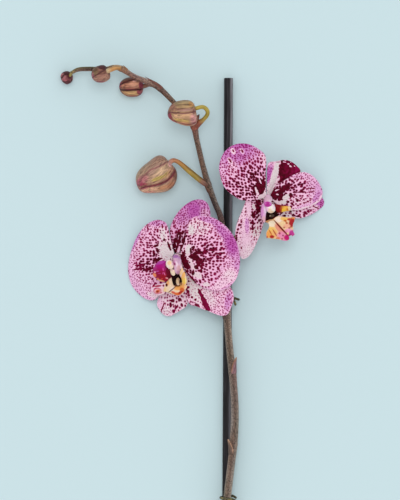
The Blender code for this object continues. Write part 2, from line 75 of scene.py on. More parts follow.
def eased(left, length, depth):
    """What rounds a radius off near an end: (1 - depth (1 - left / length)2) to 0.5, and 1 further off."""
    return np.sqrt(1 - np.clip(1 - left / length, 0, 1) ** 2 * depth)


def ring_grid(path, radii, sides, facing=(0, 0, 1)):
    """Rings of points round a path, and where each is on the tube as if it were straightened.

    A ring is centre + radius (side cos a + up sin a), square to the path, where side is the path's direction
    crossed with the facing vector. Straightened, the point is (radius cos a, radius sin a, length so far).
    """
    direction = unit(np.gradient(path, axis=0))
    side = unit(np.cross(direction, facing))
    up = np.cross(side, direction)
    turn = np.linspace(0, 2 * np.pi, sides, endpoint=False)
    radii = np.broadcast_to(np.asarray(radii, float).reshape(len(path), -1), (len(path), sides))
    across, lifted = radii * np.cos(turn), radii * np.sin(turn)
    points = path[:, None] + side[:, None] * across[..., None] + up[:, None] * lifted[..., None]
    along = np.broadcast_to(lengths_along(path)[:, None], radii.shape)
    return points, np.stack([across, lifted, along], axis=-1)


def ring_walls(rows, sides):
    """The numbers of the points in rings, of the next point round each, and the faces between the rings."""
    index = np.arange(rows * sides).reshape(rows, sides)
    after = np.roll(index, -1, axis=1)
    walls = np.stack([index[:-1], after[:-1], after[1:], index[1:]], axis=-1).reshape(-1, 4)
    return index, after, walls.tolist()


def tube_faces(rows, sides):
    """The faces that join rings of points into a tube, and close each end round a middle point."""
    index, after, walls = ring_walls(rows, sides)
    foot = np.stack([after[0], index[0], np.full(sides, rows * sides)], axis=-1)
    head = np.stack([index[-1], after[-1], np.full(sides, rows * sides + 1)], axis=-1)
    return walls + foot.tolist() + head.tolist()


def place_piece(name, points, faces, values, finish, stands_for=None):
    """Puts a mesh into the frame as a piece of the spike.

    The points are moved by the offset and turned to metres, and the faces are turned over if the volume that
    they close comes out negative. The values are stored on the points for the finish to read.
    """
    mesh = bpy.data.meshes.new(name)
    mesh.from_pydata(((points + OFFSET) / 1000).tolist(), [], faces)
    mesh.calc_loop_triangles()
    corners = np.zeros(3 * len(mesh.loop_triangles), int)
    mesh.loop_triangles.foreach_get("vertices", corners)
    a, b, c = (points[corners.reshape(-1, 3)[:, k]] for k in range(3))
    if np.sum(a * np.cross(b, c)) < 0:
        mesh.flip_normals()
    for title, data in values.items():
        kind, field = ("FLOAT_VECTOR", "vector") if data.ndim == 2 else ("FLOAT", "value")
        mesh.attributes.new(title, kind, "POINT").data.foreach_set(field, data.astype(np.float32).ravel())
    mesh.materials.append(finish)
    mesh.shade_smooth()
    piece = bpy.data.objects.new(name, mesh)
    bpy.context.scene.collection.objects.link(piece)
    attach(piece, "root")
    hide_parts(stands_for or name)


def with_ends(rings):
    """What each ring holds, point by point, and then the means of the first and the last ring."""
    return np.vstack([rings.reshape(-1, 3), rings[0].mean(axis=0), rings[-1].mean(axis=0)])


def place_tube(name, rings, values, finish, stands_for=None):
    """A tube closed at both ends, made a piece. Each end's middle point takes the mean of its ring."""
    kept = {title: with_ends(data) for title, data in values.items()}
    place_piece(name, with_ends(rings), tube_faces(*rings.shape[:2]), kept, finish, stands_for)


def linear(hex_colour):
    """The linear colour of an sRGB hex value: x / 12.92 where dark, else ((x + 0.055) / 1.055) to 2.4."""
    value = np.array([int(hex_colour[i:i + 2], 16) / 255 for i in (1, 3, 5)])
    value = np.where(value <= 0.04045, value / 12.92, ((value + 0.055) / 1.055) ** 2.4)
    return (*value, 1.0)


def new_finish(name, **sockets):
    """A new material: its node tree and its shader, on which the given sockets are set."""
    finish = bpy.data.materials.new(name)
    finish.use_nodes = True
    shader = finish.node_tree.nodes["Principled BSDF"]
    for socket, value in sockets.items():
        shader.inputs[socket.replace("_", " ")].default_value = value
    return finish, finish.node_tree, shader


def add_node(tree, kind, inputs=(), **settings):
    """A new node with its settings. Each input is given a plain value or another node's output."""
    node = tree.nodes.new("ShaderNode" + kind)
    for setting, value in settings.items():
        setattr(node, setting, value)
    for socket, value in dict(inputs).items():
        if isinstance(value, bpy.types.NodeSocket):
            tree.links.new(value, node.inputs[socket])
        else:
            node.inputs[socket].default_value = value
    return node


def colour_steps(tree, value, steps):
    """A value turned to a colour by a ramp whose stops are (position, hex colour) pairs."""
    ramp = add_node(tree, "ValToRGB", {"Fac": value})
    stops = ramp.color_ramp.elements
    while len(stops) < len(steps):
        stops.new(0.5)
    for stop, (position, colour) in zip(stops, steps):
        stop.position = position
        stop.color = linear(colour)
    return ramp.outputs["Color"]


def stored(tree, title, output="Vector"):
    """The output of a node that reads what is stored on a mesh's points under a title."""
    return add_node(tree, "Attribute", attribute_name=title).outputs[output]


def noise(tree, place, scale, detail, roughness=0.5, output="Fac"):
    """Noise at a place: its cells per unit, how many finer layers it has, and how strong they are."""
    settings = {"Vector": place, "Scale": scale, "Detail": detail, "Roughness": roughness}
    return add_node(tree, "TexNoise", settings).outputs[output]


def ranged(tree, value, low=0.0, high=1.0, first=0.0, last=1.0):
    """A value's way from low to high, made the way from first to last and held between them."""
    return add_node(tree, "MapRange", dict(enumerate((value, low, high, first, last)))).outputs[0]


def maths(tree, operation, *values):
    """One step of arithmetic on one or two values."""
    return add_node(tree, "Math", dict(enumerate(values)), operation=operation).outputs[0]


def mixed(tree, share, under, over, **settings):
    """A colour laid over another by a share."""
    return add_node(tree, "Mix", {0: share, 6: under, 7: over}, data_type="RGBA", **settings).outputs[2]


def coloured(tree, shader, colour):
    """Gives a finish its colour."""
    tree.links.new(colour, shader.inputs["Base Color"])


def roughened(tree, shader, height, strength, distance):
    """Gives a finish fine relief from a height, by how strongly it tells and how tall it is in metres."""
    relief = add_node(tree, "Bump", {"Height": height, "Strength": strength, "Distance": distance})
    tree.links.new(relief.outputs[0], shader.inputs["Normal"])


def grain_noise(tree, scale, detail, roughness=0.5):
    """Noise that follows a piece's grain, by its cells per millimetre in each of the grain's directions."""
    place = add_node(tree, "Mapping", {"Vector": stored(tree, "grain"), "Scale": scale})
    return noise(tree, place.outputs[0], 1.0, detail, roughness)


# Black lacquer over bamboo: dark and half matt, with a painted highlight in broken grey streaks down the upper
# part of its right-hand side, as if lit from the right.
cane_finish, tree, shader = new_finish("black lacquered bamboo", Roughness=0.5, Specular_IOR_Level=0.14)
# The fibres are about 1.5 mm apart and 25 mm long.
fibres = grain_noise(tree, (0.7, 0.7, 0.04), 4.0, 0.6)
coat = colour_steps(tree, fibres, [(0.35, "#171517"), (0.55, "#252326"), (0.72, "#3C3A3E")])
# Painted highlight: here the lacquer is mixed towards pale grey on the cane's upper right, broken up by the
# fibres.
highlight_share = maths(tree, "MULTIPLY", stored(tree, "side_highlight"), ranged(tree, fibres, 0.3, 0.6, 0.35, 1.1))
coloured(tree, shader, mixed(tree, highlight_share, coat, linear("#858187")))
roughened(tree, shader, fibres, 0.5, 0.0003)

# The rings crowd towards the cut ends, so that the rounding there keeps its size.
cane_length = np.linalg.norm(CANE_TOP - CANE_FOOT)
near_end = np.array([0, 0.08, 0.18, 0.32, 0.5, 1.2])
between = np.linspace(3, cane_length - 3, 154)
share = np.concatenate([near_end, between, cane_length - near_end[::-1]]) / cane_length
cane_path = CANE_FOOT + share[:, None] * (CANE_TOP - CANE_FOOT)
from_end = np.minimum(share, 1 - share) * cane_length
rounded = eased(from_end, CANE_ROUNDING, 0.28)
# Shallow ribs run along the cane and drift round it.
turn = np.linspace(0, 2 * np.pi, CANE_SIDES, endpoint=False)
ribs = 0.05 * np.sin(5 * turn + 4 * share[:, None]) + 0.04 * np.sin(8 * turn - 7 * share[:, None] + 1)
points, straight = ring_grid(cane_path, CANE_RADIUS * rounded[:, None] - 0.06 + ribs, CANE_SIDES)
# A painted highlight on the upper right. It grows from a quarter of the way out on the right-hand side and
# fades away towards the underside.
side_share = straight[..., 0] / CANE_RADIUS
side_highlight = np.clip((side_share - 0.25) / 0.4, 0, 1) * np.clip(straight[..., 1] / CANE_RADIUS + 0.3, 0, 1)
values = {"grain": straight, "side_highlight": np.dstack([side_highlight] * 3)}
place_tube("support_cane", points, values, cane_finish)

# ---------------------------------------------------------------- flower stem
# The woody green-brown stem that carries every flower and bud. It bows beside the cane and arches over at its
# top, and it is thicker at each joint, where a bract stands and a pedicel or a dormant bud grows.

# Each station is its place and the stem's radius there.
STATIONS = {
    "cut_end": (-1.7, -16.0, 12.3, 3.0),
    "lower_tie": (-0.6, 2.0, 12.3, 2.95),
    "low_bend": (1.6, 21.0, 12.2, 2.9),
    "below_lower_bract": (2.9, 32.0, 12.1, 2.95),
    "lower_bract": (4.1, 42.0, 11.8, 3.1),
    "belly": (5.1, 57.0, 11.4, 3.05),
    "belly_top": (5.1, 71.0, 11.4, 2.95),
    "below_upper_bract": (4.2, 85.0, 11.7, 2.85),
    "upper_bract": (3.2, 96.0, 12.0, 3.0),
    "above_upper_bract": (2.0, 106.0, 12.2, 2.8),
    "crossing": (-0.3, 130.0, 12.3, 2.75),
    "flower_a_joint": (-1.0, 142.0, 12.3, 2.9),
    "upper_tie": (-1.5, 153.0, 12.2, 2.6),
    "between_flowers": (-2.4, 172.0, 12.1, 2.5),
    "flower_b_joint": (-3.1, 188.0, 12.1, 2.75),
    "leaves_cane": (-5.3, 210.5, 12.3, 2.3),
    "free_bend": (-9.6, 222.0, 12.7, 2.2),
    "bud_1_joint": (-14.8, 236.5, 13.1, 2.4),
    "rise": (-19.1, 251.5, 13.5, 2.1),
    "rise_top": (-23.3, 270.0, 14.1, 2.1),
    "bud_2_joint": (-25.4, 279.5, 14.5, 2.5),
    "arch_start": (-31.6, 289.4, 15.1, 1.95),
    "arch_middle": (-40.2, 297.6, 15.7, 1.9),
    "bud_3_joint": (-51.2, 308.4, 16.1, 2.2),
    "arch_end": (-61.0, 313.6, 16.1, 2.1),
    "before_bud_4": (-70.5, 317.6, 15.6, 1.9),
    "bud_4_joint": (-80.0, 323.2, 14.6, 2.2),
    "hump": (-85.5, 324.3, 13.8, 1.9),
    "after_hump": (-92.5, 322.9, 12.8, 1.8),
    "tip_run": (-104.0, 323.2, 11.2, 1.75),
    "tip_bend": (-112.0, 322.8, 10.4, 1.6),
    "tip_end": (-117.0, 320.6, 9.8, 1.25),
}
STEM_SIDES = 28
JOINTS = ("lower_bract", "upper_bract", "flower_a_joint", "flower_b_joint", "bud_1_joint", "bud_2_joint",
          "bud_3_joint", "bud_4_joint")

# Stem skin: a satin skin under dense dark specks, tinted from place to place: purple-brown up the arch, golden
# on the hump. Across the stem the colours also hold painted light. Its right-hand side is painted lighter, as
# if lit from the right, and on the lower stem its left edge is painted pale as a painted highlight along the
# rim. Each row is a station and its left, middle and right colours.
STEM_TINTS_AND_SIDE_LIGHT = (
    ("cut_end", "#6B604C", "#635345", "#9C8A7B"), ("low_bend", "#8D7B6F", "#675145", "#988C82"),
    ("lower_bract", "#7F6555", "#5C473D", "#88786C"), ("belly", "#988B83", "#544235", "#8E8478"),
    ("upper_bract", "#7E6E64", "#5F4A43", "#8C6D67"), ("above_upper_bract", "#7E6E61", "#533F2D", "#9B8E83"),
    ("crossing", "#857468", "#553F32", "#A38C7D"), ("leaves_cane", "#59433C", "#59413A", "#735C56"),
    ("free_bend", "#473836", "#49372F", "#91847C"), ("bud_1_joint", "#614538", "#624838", "#8C8076"),
    ("rise", "#6B5345", "#6E5142", "#847164"), ("rise_top", "#665146", "#6D5043", "#8D7A6F"),
    ("bud_2_joint", "#78473C", "#6E453A", "#88665C"), ("arch_middle", "#6F513D", "#684A38", "#887567"),
    ("bud_3_joint", "#614236", "#664B43", "#7C665E"), ("arch_end", "#7A594E", "#896C5F", "#A5887A"),
    ("before_bud_4", "#886254", "#886358", "#987B75"), ("hump", "#946646", "#946C49", "#AD8E6B"),
    ("after_hump", "#78563F", "#6C4B38", "#695444"), ("tip_run", "#6A4E42", "#593F35", "#645C3A"),
    ("tip_bend", "#755B52", "#735A4A", "#645C37"), ("tip_end", "#78604B", "#88754B", "#887A4B"),
)


def shaded(tree, tint, value, *shades):
    """A tint times a shade. The shades are the value's two levels that count, and the shade at each."""
    return mixed(tree, 1.0, tint, ranged(tree, value, *shades), blend_type="MULTIPLY")


def skin_finish(name, grain, shades, relief, **sockets):
    """A finish in the stored tint, shaded and roughened by the same noise along the grain."""
    finish, tree, shader = new_finish(name, **sockets)
    pattern = grain_noise(tree, *grain)
    coloured(tree, shader, shaded(tree, stored(tree, "tint", "Color"), pattern, *shades))
    roughened(tree, shader, pattern, *relief)
    return finish


# The specks are about 0.7 mm wide and 0.9 mm long.
stem_finish = skin_finish(
    "speckled stem skin", ((1.5, 1.5, 1.1), 3.0, 0.65), (0.38, 0.64, 0.12, 1.8), (0.4, 0.0002),
    Roughness=0.5, Specular_IOR_Level=0.25
)


def smooth(points, count):
    """Evenly spaced points on a Catmull-Rom curve through the given ones.

    Between two points the curve is half of 2a + (b - z)t + (2z - 5a + 4b - c)t2 + (3a - z - 3b + c)t3, where
    z and c are the points before and after. It is worked out finely and then read at even distances.
    """
    points = np.asarray(points, float)
    ends = np.vstack([2 * points[0] - points[1], points, 2 * points[-1] - points[-2]])
    place = np.linspace(0, len(points) - 1, 40 * len(points))
    i = np.minimum(place.astype(int), len(points) - 2)
    t = (place - i)[:, None]
    z, a, b, c = (ends[i + k] for k in range(4))
    fine = (2 * a + (b - z) * t + (2 * z - 5 * a + 4 * b - c) * t**2 + (3 * a - z - 3 * b + c) * t**3) / 2
    along = lengths_along(fine)
    wanted = np.linspace(0, along[-1], count)
    return np.stack([np.interp(wanted, along, column) for column in fine.T], axis=1)


station_points = np.array(list(STATIONS.values()))
stem_fine = smooth(station_points, 520)
stem_length = lengths_along(stem_fine)
nearest = [np.argmin(np.linalg.norm(stem_fine[:, :3] - point[:3], axis=1)) for point in station_points]
STATION_LENGTH = {name: stem_length[i] for name, i in zip(STATIONS, nearest)}
# Each joint has a low collar, 0.25 mm high and about 2 mm long, where its bract grows from the stem.
collars = sum(0.25 * np.exp(-((stem_length - STATION_LENGTH[joint]) / 1.0) ** 2) for joint in JOINTS)
from_end = np.minimum(stem_length, stem_length[-1] - stem_length)
stem_radius = (stem_fine[:, 3] + collars) * eased(from_end, 0.8, 0.4)
turn = np.linspace(0, 2 * np.pi, STEM_SIDES, endpoint=False)
drift = stem_length[:, None]
uneven = 0.06 * np.sin(3 * turn + drift / 17) + 0.04 * np.sin(5 * turn - drift / 9)
points, straight = ring_grid(stem_fine[:, :3], stem_radius[:, None] + uneven - 0.05, STEM_SIDES)


def banded(rows, along, across):
    """Colours over a tube: between rows of (place along, hex colours from its left side to its right side).

    Each is read off two straight-line blends, first along the tube and then across it from -1 to 1.
    """
    places = [row[0] for row in rows]
    colours = np.array([[linear(colour)[:3] for colour in row[1:]] for row in rows])
    columns = [
        np.stack([np.interp(along, places, colours[:, i, k]) for k in range(3)], axis=-1)
        for i in range(colours.shape[1])
    ]
    step = (np.clip(across, -0.999, 0.999) + 1) / 2 * (len(columns) - 1)
    weights = [np.clip(1 - np.abs(step - i), 0, 1)[..., None] for i in range(len(columns))]
    return sum(weight * column for weight, column in zip(weights, columns))


rows = [(STATION_LENGTH[station], *colours) for station, *colours in STEM_TINTS_AND_SIDE_LIGHT]
# Blending the left, middle and right colours across the stem lays on the painted light of its sides.
tint = banded(rows, straight[..., 2], 1.15 * straight[..., 0] / stem_radius[:, None])
place_tube("flower_stem", points, {"grain": straight, "tint": tint}, stem_finish)

# ---------------------------------------------------------------- plant ties
# Two soft wires in a rubbery olive coat that hold the stem to the cane. Each goes once round both, and its
# two ends are bent away and left sticking out.

TIE_RADIUS = 0.9
# Each is how far up it is, how far it winds to each side of that, and the tips of its two ends.
TIES = {
    "lower_tie": (2.0, 1.3, ((6.4, 1.6, 9.4), (8.4, -2.4, 11.0))),
    "upper_tie": (153.0, -1.3, ((8.8, 150.1, 9.0), (5.9, 145.9, 10.4))),
}

# Soft rubber coat: dull dark olive, with paler worn patches.
tie_finish, tree, shader = new_finish("soft plant tie", Roughness=0.65)
# The coat is mottled every 1.5 mm or so.
mottle = noise(tree, stored(tree, "grain"), 0.7, 3.0)
coloured(tree, shader, colour_steps(tree, mottle, [(0.35, "#34301F"), (0.5, "#4E4A32"), (0.68, "#8C7F45")]))
roughened(tree, shader, mottle, 0.3, 0.0002)

for name, (y, pitch, ends) in TIES.items():
    cane_middle = CANE_FOOT + (y - CANE_FOOT[1]) / (CANE_TOP[1] - CANE_FOOT[1]) * (CANE_TOP - CANE_FOOT)
    stem_middle = stem_fine[np.argmin(np.abs(stem_fine[:, 1] - y))]
    under = np.radians(np.array([10, -20, -55, -90, -125, -160, -190]))
    over = np.radians(np.array([170, 135, 90, 45, 5]))
    loops = (cane_middle, CANE_RADIUS + 0.3, under), (stem_middle, stem_middle[3] + 0.4, over)
    wound = np.vstack([
        middle[:3] + (clear + TIE_RADIUS) * np.stack([np.cos(turn), 0 * turn, np.sin(turn)], axis=1)
        for middle, clear, turn in loops
    ])
    wound[:, 1] = y + pitch * (1 - 2 * np.linspace(0, 1, len(wound)))
    path = smooth([ends[0], *wound, ends[1]], 90)
    along = lengths_along(path)
    from_end = np.minimum(along, along[-1] - along)
    radius = TIE_RADIUS * np.sqrt(1 - np.clip(1 - from_end / TIE_RADIUS, 0, 0.97) ** 2)
    points, straight = ring_grid(path, radius, 14, facing=(0, 1, 0.2))
    place_tube(name, points, {"grain": straight}, tie_finish)

# ---------------------------------------------------------------- bracts
# A thin dry scale at each joint of the stem. It wraps part of the way round, hugs the stem at its foot and
# stands off at its pointed tip, bud 2's the furthest.

# Each is its joint, where along the stem it starts from there, its length, the side of the stem it is on,
# half of how far round it wraps in degrees, the flare that lifts its tip, and its foot's and margin's colours.
BRACTS = {
    "lower_bract": ("lower_bract", -7.5, 10.8, (-0.93, 0.0, 0.36), 84, 1.1, "#66544C", "#CFA284"),
    "upper_bract": ("upper_bract", -1.5, 12.0, (0.9, 0.0, 0.45), 80, 1.5, "#86646A", "#B07E56"),
    "flower_a_bract": ("flower_a_joint", -6.0, 4.5, (-0.8, 0.0, 0.6), 80, 0.3, "#64504A", "#7A6254"),
    "flower_b_bract": ("flower_b_joint", -7.5, 5.5, (0.9, 0.0, 0.4), 80, 0.3, "#64504A", "#7A6254"),
    "bud_1_bract": ("bud_1_joint", -6.0, 6.0, (-1.0, 0.2, 0.3), 70, 0.1, "#66493E", "#86604E"),
    "bud_2_bract": ("bud_2_joint", -2.4, 8.6, (0.62, 0.2, 0.6), 112, 6.5, "#9A5A4A", "#5E3830"),
    "bud_3_bract": ("bud_3_joint", -1.0, 15.0, (0.5, 0.85, 0.1), 80, 0.2, "#74493F", "#7E4A40"),
    "bud_4_bract": ("bud_4_joint", -5.0, 4.6, (0.2, 1.0, 0.1), 75, 0.2, "#8A6248", "#A8825A"),
}


def sheet_rings(middle, thickness):
    """The rings that run over a sheet's upper side and back under its lower side, and 1 or 0 by the side.

    Both sides lie half of the thickness from the middle surface along its normal, which is the cross product
    of the surface's slopes along its rows and its columns, turned so that most of the upper side looks up.
    """
    normal = unit(np.cross(np.gradient(middle, axis=0), np.gradient(middle, axis=1)))
    normal = normal * np.sign(normal[..., 2].mean())
    half = normal * (thickness / 2)[..., None]
    rings = np.concatenate([middle + half, (middle - half)[:, ::-1]], axis=1)
    return rings, np.concatenate([np.ones(middle.shape[:2]), np.zeros(middle.shape[:2])], axis=1)


def sheet_faces(rows, columns):
    """The faces of a closed sheet: its rings joined, and each end's upper edge joined to its lower edge."""
    index, _, walls = ring_walls(rows, columns)
    for ring, order in ((index[0], 1), (index[-1], -1)):
        upper, lower = ring[:columns // 2], ring[:columns // 2 - 1:-1]
        edge = np.stack([upper[1:], upper[:-1], lower[:-1], lower[1:]], axis=-1)
        walls += edge[:, ::order].tolist()
    return walls


def place_sheet(name, middle, thickness, finish, values, stands_for=None):
    """A closed thin sheet made a piece. Its values are doubled, once for each side."""
    rings, upper = sheet_rings(middle, thickness)
    kept = {"upper": upper.ravel()}
    for title, data in values.items():
        both = np.concatenate([data, data[:, ::-1]], axis=1)
        kept[title] = both.reshape(-1, 3) if data.ndim == 3 else both.ravel()
    faces = sheet_faces(*rings.shape[:2])
    place_piece(name, rings.reshape(-1, 3), faces, kept, finish, stands_for)


# Dry bract: papery and streaked lengthwise every 0.8 mm, the colour of the stem at its foot and of its own
# margin at its edges and tip.
bract_finish = skin_finish(
    "papery bract", ((1.3, 0.3, 1.0), 4.0, 0.6), (0.35, 0.68, 0.4, 1.6), (0.5, 0.0002),
    Roughness=0.6, Specular_IOR_Level=0.2
)

for name, (station, start, length, facing, half_wrap, flare, foot_colour, edge_colour) in BRACTS.items():
    v = np.linspace(0, 1, 29)[:, None]
    u = np.linspace(-1, 1, 33)[None, :]
    here = STATION_LENGTH[station] + start + length * v[:, 0]
    on_stem = np.stack([np.interp(here, stem_length, column) for column in stem_fine.T], axis=1)
    centre, radius = on_stem[:, :3], on_stem[:, 3]
    along = unit(np.gradient(centre, axis=0))
    front = np.broadcast_to(np.array(facing), centre.shape)
    front = unit(front - along * np.sum(front * along, axis=1, keepdims=True))
    side = np.cross(along, front)
    # It narrows to its tip, starts flush with the stem, and lifts off by the flare times its share squared.
    wrap = np.radians(half_wrap) * (1 - 0.88 * v**1.5) * u
    reach = radius[:, None] + 0.05 + 0.5 * np.sqrt(v) + flare * v**2
    ahead, aside = (reach * np.cos(wrap))[..., None], (reach * np.sin(wrap))[..., None]
    middle = centre[:, None] + front[:, None] * ahead + side[:, None] * aside
    thickness = 0.4 * (1 - 0.5 * np.abs(u) ** 3) * (0.4 + 0.6 * np.sqrt(v)) * (1 - 0.4 * v)
    straight = np.stack([wrap * reach, np.broadcast_to(length * v, wrap.shape), 0 * wrap], axis=-1)
    margin = np.clip(np.abs(u) ** 7 * np.clip(4 * v, 0, 1) + v**5, 0, 1)[..., None]
    tint = np.array(linear(foot_colour)[:3]) * (1 - margin) + np.array(linear(edge_colour)[:3]) * margin
    place_sheet(name, middle, thickness, bract_finish, {"grain": straight, "tint": tint})

# ---------------------------------------------------------------- pedicels
# The short stalks that carry the buds and the flowers. Each leaves the stem at a joint and widens into the
# receptacle where a flower sits.

# Each is its route by place and radius. A flower's ends in its head, which rises the way the flower looks.
PEDICELS = {
    "bud_1_pedicel": (
        (-14.8, 236.5, 13.1, 2.2), (-19.6, 239.0, 13.0, 2.15), (-28.4, 246.1, 13.2, 2.1),
        (-35.6, 252.3, 13.4, 1.75), (-39.4, 254.4, 13.5, 1.65), (-41.8, 254.4, 13.5, 1.7),
        (-44.3, 252.5, 13.5, 1.7),
    ),
    "bud_2_pedicel": (
        (-25.4, 279.5, 14.5, 2.4), (-22.8, 282.0, 15.8, 2.6), (-18.9, 284.8, 18.4, 1.6),
        (-16.0, 288.0, 21.0, 1.55), (-15.3, 290.8, 23.2, 1.55), (-16.7, 293.3, 25.4, 1.55),
        (-19.6, 294.5, 27.2, 1.5), (-24.6, 293.2, 28.0, 1.5),
    ),
    "bud_3_pedicel": (
        (-57.5, 311.8, 16.0, 1.65), (-58.3, 311.8, 12.8, 1.65), (-60.4, 311.2, 9.8, 1.65),
        (-64.6, 309.8, 8.3, 1.65),
    ),
    "bud_4_pedicel": (
        (-81.0, 323.6, 14.4, 1.6), (-82.4, 324.0, 18.4, 1.6), (-84.4, 323.6, 22.2, 1.65),
        (-87.4, 322.5, 24.3, 1.7), (-91.6, 320.7, 22.9, 1.9),
    ),
    "bud_5_pedicel": ((-117.0, 320.6, 9.8, 0.9), (-117.6, 319.5, 9.2, 0.9), (-118.8, 317.6, 8.1, 0.9)),
    "flower_a_pedicel": (
        (-1.0, 142.0, 12.3, 1.65), (-5.5, 146.5, 11.5, 1.65), (-13.0, 154.5, 9.6, 1.65),
        (-21.5, 163.5, 8.6, 1.65), (-29.5, 173.0, 9.4, 1.65),
    ),
    "flower_b_pedicel": (
        (-3.1, 188.0, 12.1, 1.65), (3.0, 194.0, 14.0, 1.65), (9.5, 201.0, 16.0, 1.65),
        (16.0, 209.0, 17.4, 1.65), (21.5, 218.0, 18.6, 1.65),
    ),
}
# Each flower's centre and the way that it looks.
FLOWERS = {
    "flower_a": (np.array([-37.9, 182.25, 22.0]), unit(np.array([-0.36, -0.08, 1.0]))),
    "flower_b": (np.array([29.25, 225.75, 28.0]), unit(np.array([0.5, -0.08, 1.0]))),
}
# Where the head's stations are along that way, and their radii.
HEAD_RISES = np.array([-7.0, -3.8, 0.0, 2.1, 2.6])
HEAD_RADII = np.array([2.0, 2.7, 2.7, 2.7, 2.7])
# Each row is a share of the pedicel's length from the stem, and the colours of its left and right sides.
PEDICEL_TINTS = {
    "bud_1_pedicel": (
        (0, "#744A3E", "#6E4A42"), (0.14, "#8E6050", "#84604C"), (0.26, "#A89038", "#8C7434"),
        (0.5, "#B4983E", "#946E38"), (0.72, "#B2843E", "#9E6A3C"), (0.88, "#B67E5A", "#A66E4E"),
        (1, "#D8A898", "#CC988A"),
    ),
    "bud_2_pedicel": (
        (0, "#84463A", "#84463A"), (0.2, "#8E5040", "#945646"), (0.32, "#A68A4A", "#AE904E"),
        (0.45, "#A8943E", "#B49E4C"), (1, "#A48C38", "#AE9A46"),
    ),
    "bud_4_pedicel": (
        (0, "#A87848", "#B48650"), (0.72, "#B88250", "#C08E58"), (0.86, "#E0C496", "#E6D0A6"),
        (1, "#EADBB8", "#EADBB8"),
    ),
    "bud_3_pedicel": ((0, "#7A5240", "#7A5240"), (1, "#7E5646", "#7E5646")),
    "bud_5_pedicel": ((0, "#8A7A50", "#8A7A50"), (1, "#9A8C4C", "#8E8046")),
    "flower_a_pedicel": (
        (0, "#7A5240", "#7A5240"), (0.2, "#98883A", "#98883A"), (0.75, "#B0A050", "#B0A050"),
        (1, "#D0A8B8", "#D0A8B8"),
    ),
}
PEDICEL_TINTS["flower_b_pedicel"] = PEDICEL_TINTS["flower_a_pedicel"]

# Pedicel skin: satin, brown or tan at the stem and olive, tan, cream or pink further out, with faint streaks
# 1 mm wide and 6 mm long.
pedicel_finish = skin_finish(
    "pedicel skin", ((0.9, 0.9, 0.16), 4.0), (0.35, 0.65, 0.7, 1.3), (0.25, 0.0002),
    Roughness=0.45, Specular_IOR_Level=0.3
)

for name, route in PEDICELS.items():
    stations = np.array(route)
    if name[:8] in FLOWERS:
        centre, out = FLOWERS[name[:8]]
        head = centre + out * HEAD_RISES[:, None]
        stations = np.vstack([stations, np.column_stack([head, HEAD_RADII])])
    path = smooth(stations, 90)
    along = lengths_along(path)
    radius = (path[:, 3] + 0.5 * np.exp(-along / 2.5)) * eased(along[-1] - along, 0.8, 0.5)
    points, straight = ring_grid(path[:, :3], radius, 24, facing=(0.2, -0.3, 1))
    tint = banded(PEDICEL_TINTS[name], straight[..., 2] / along[-1], straight[..., 0] / radius[:, None])
    place_tube(name, points, {"grain": straight, "tint": tint}, pedicel_finish)

# ---------------------------------------------------------------- buds
# Closed buds: three outer sepals that meet along seams and shut over the rest. The pedicel comes in at a pit
# in the round end, and the sepals' tips make a blunt point at the other.

# Each is its base and tip, its radius, where along it is widest, how pointed it is, the bearing that its
# lobes start from, the depth of the pit, and how far its middle bows to its left at five places along it.
BUDS = {
    "bud_1": ((-43.6, 252.9, 13.5), (-66.2, 232.2, 13.4), 13.3, 0.45, 0.45, 155, 3.0, (0, 1.3, 1.1, -0.9, 0)),
    "bud_2": ((-24.2, 292.2, 27.9), (-45.2, 288.2, 27.7), 9.9, 0.3, 0.15, 25, 1.5, (1.6, 1.1, 0.1, -0.8, 0)),
    "bud_3": ((-63.4, 309.6, 8.1), (-81.6, 310.2, 7.2), 7.4, 0.5, 0.0, 150, 1.0, (0, 0, 0, 0, 0)),
    "bud_4": ((-90.9, 321.0, 23.2), (-101.6, 316.6, 19.6), 6.6, 0.4, 0.0, 90, 3.0, (0.4, 0.4, 0.2, 0, 0)),
    "bud_5": ((-118.4, 318.0, 8.2), (-123.6, 315.4, 3.2), 5.0, 0.5, 0.0, 40, 0.5, (0, 0, 0, 0, 0)),
}
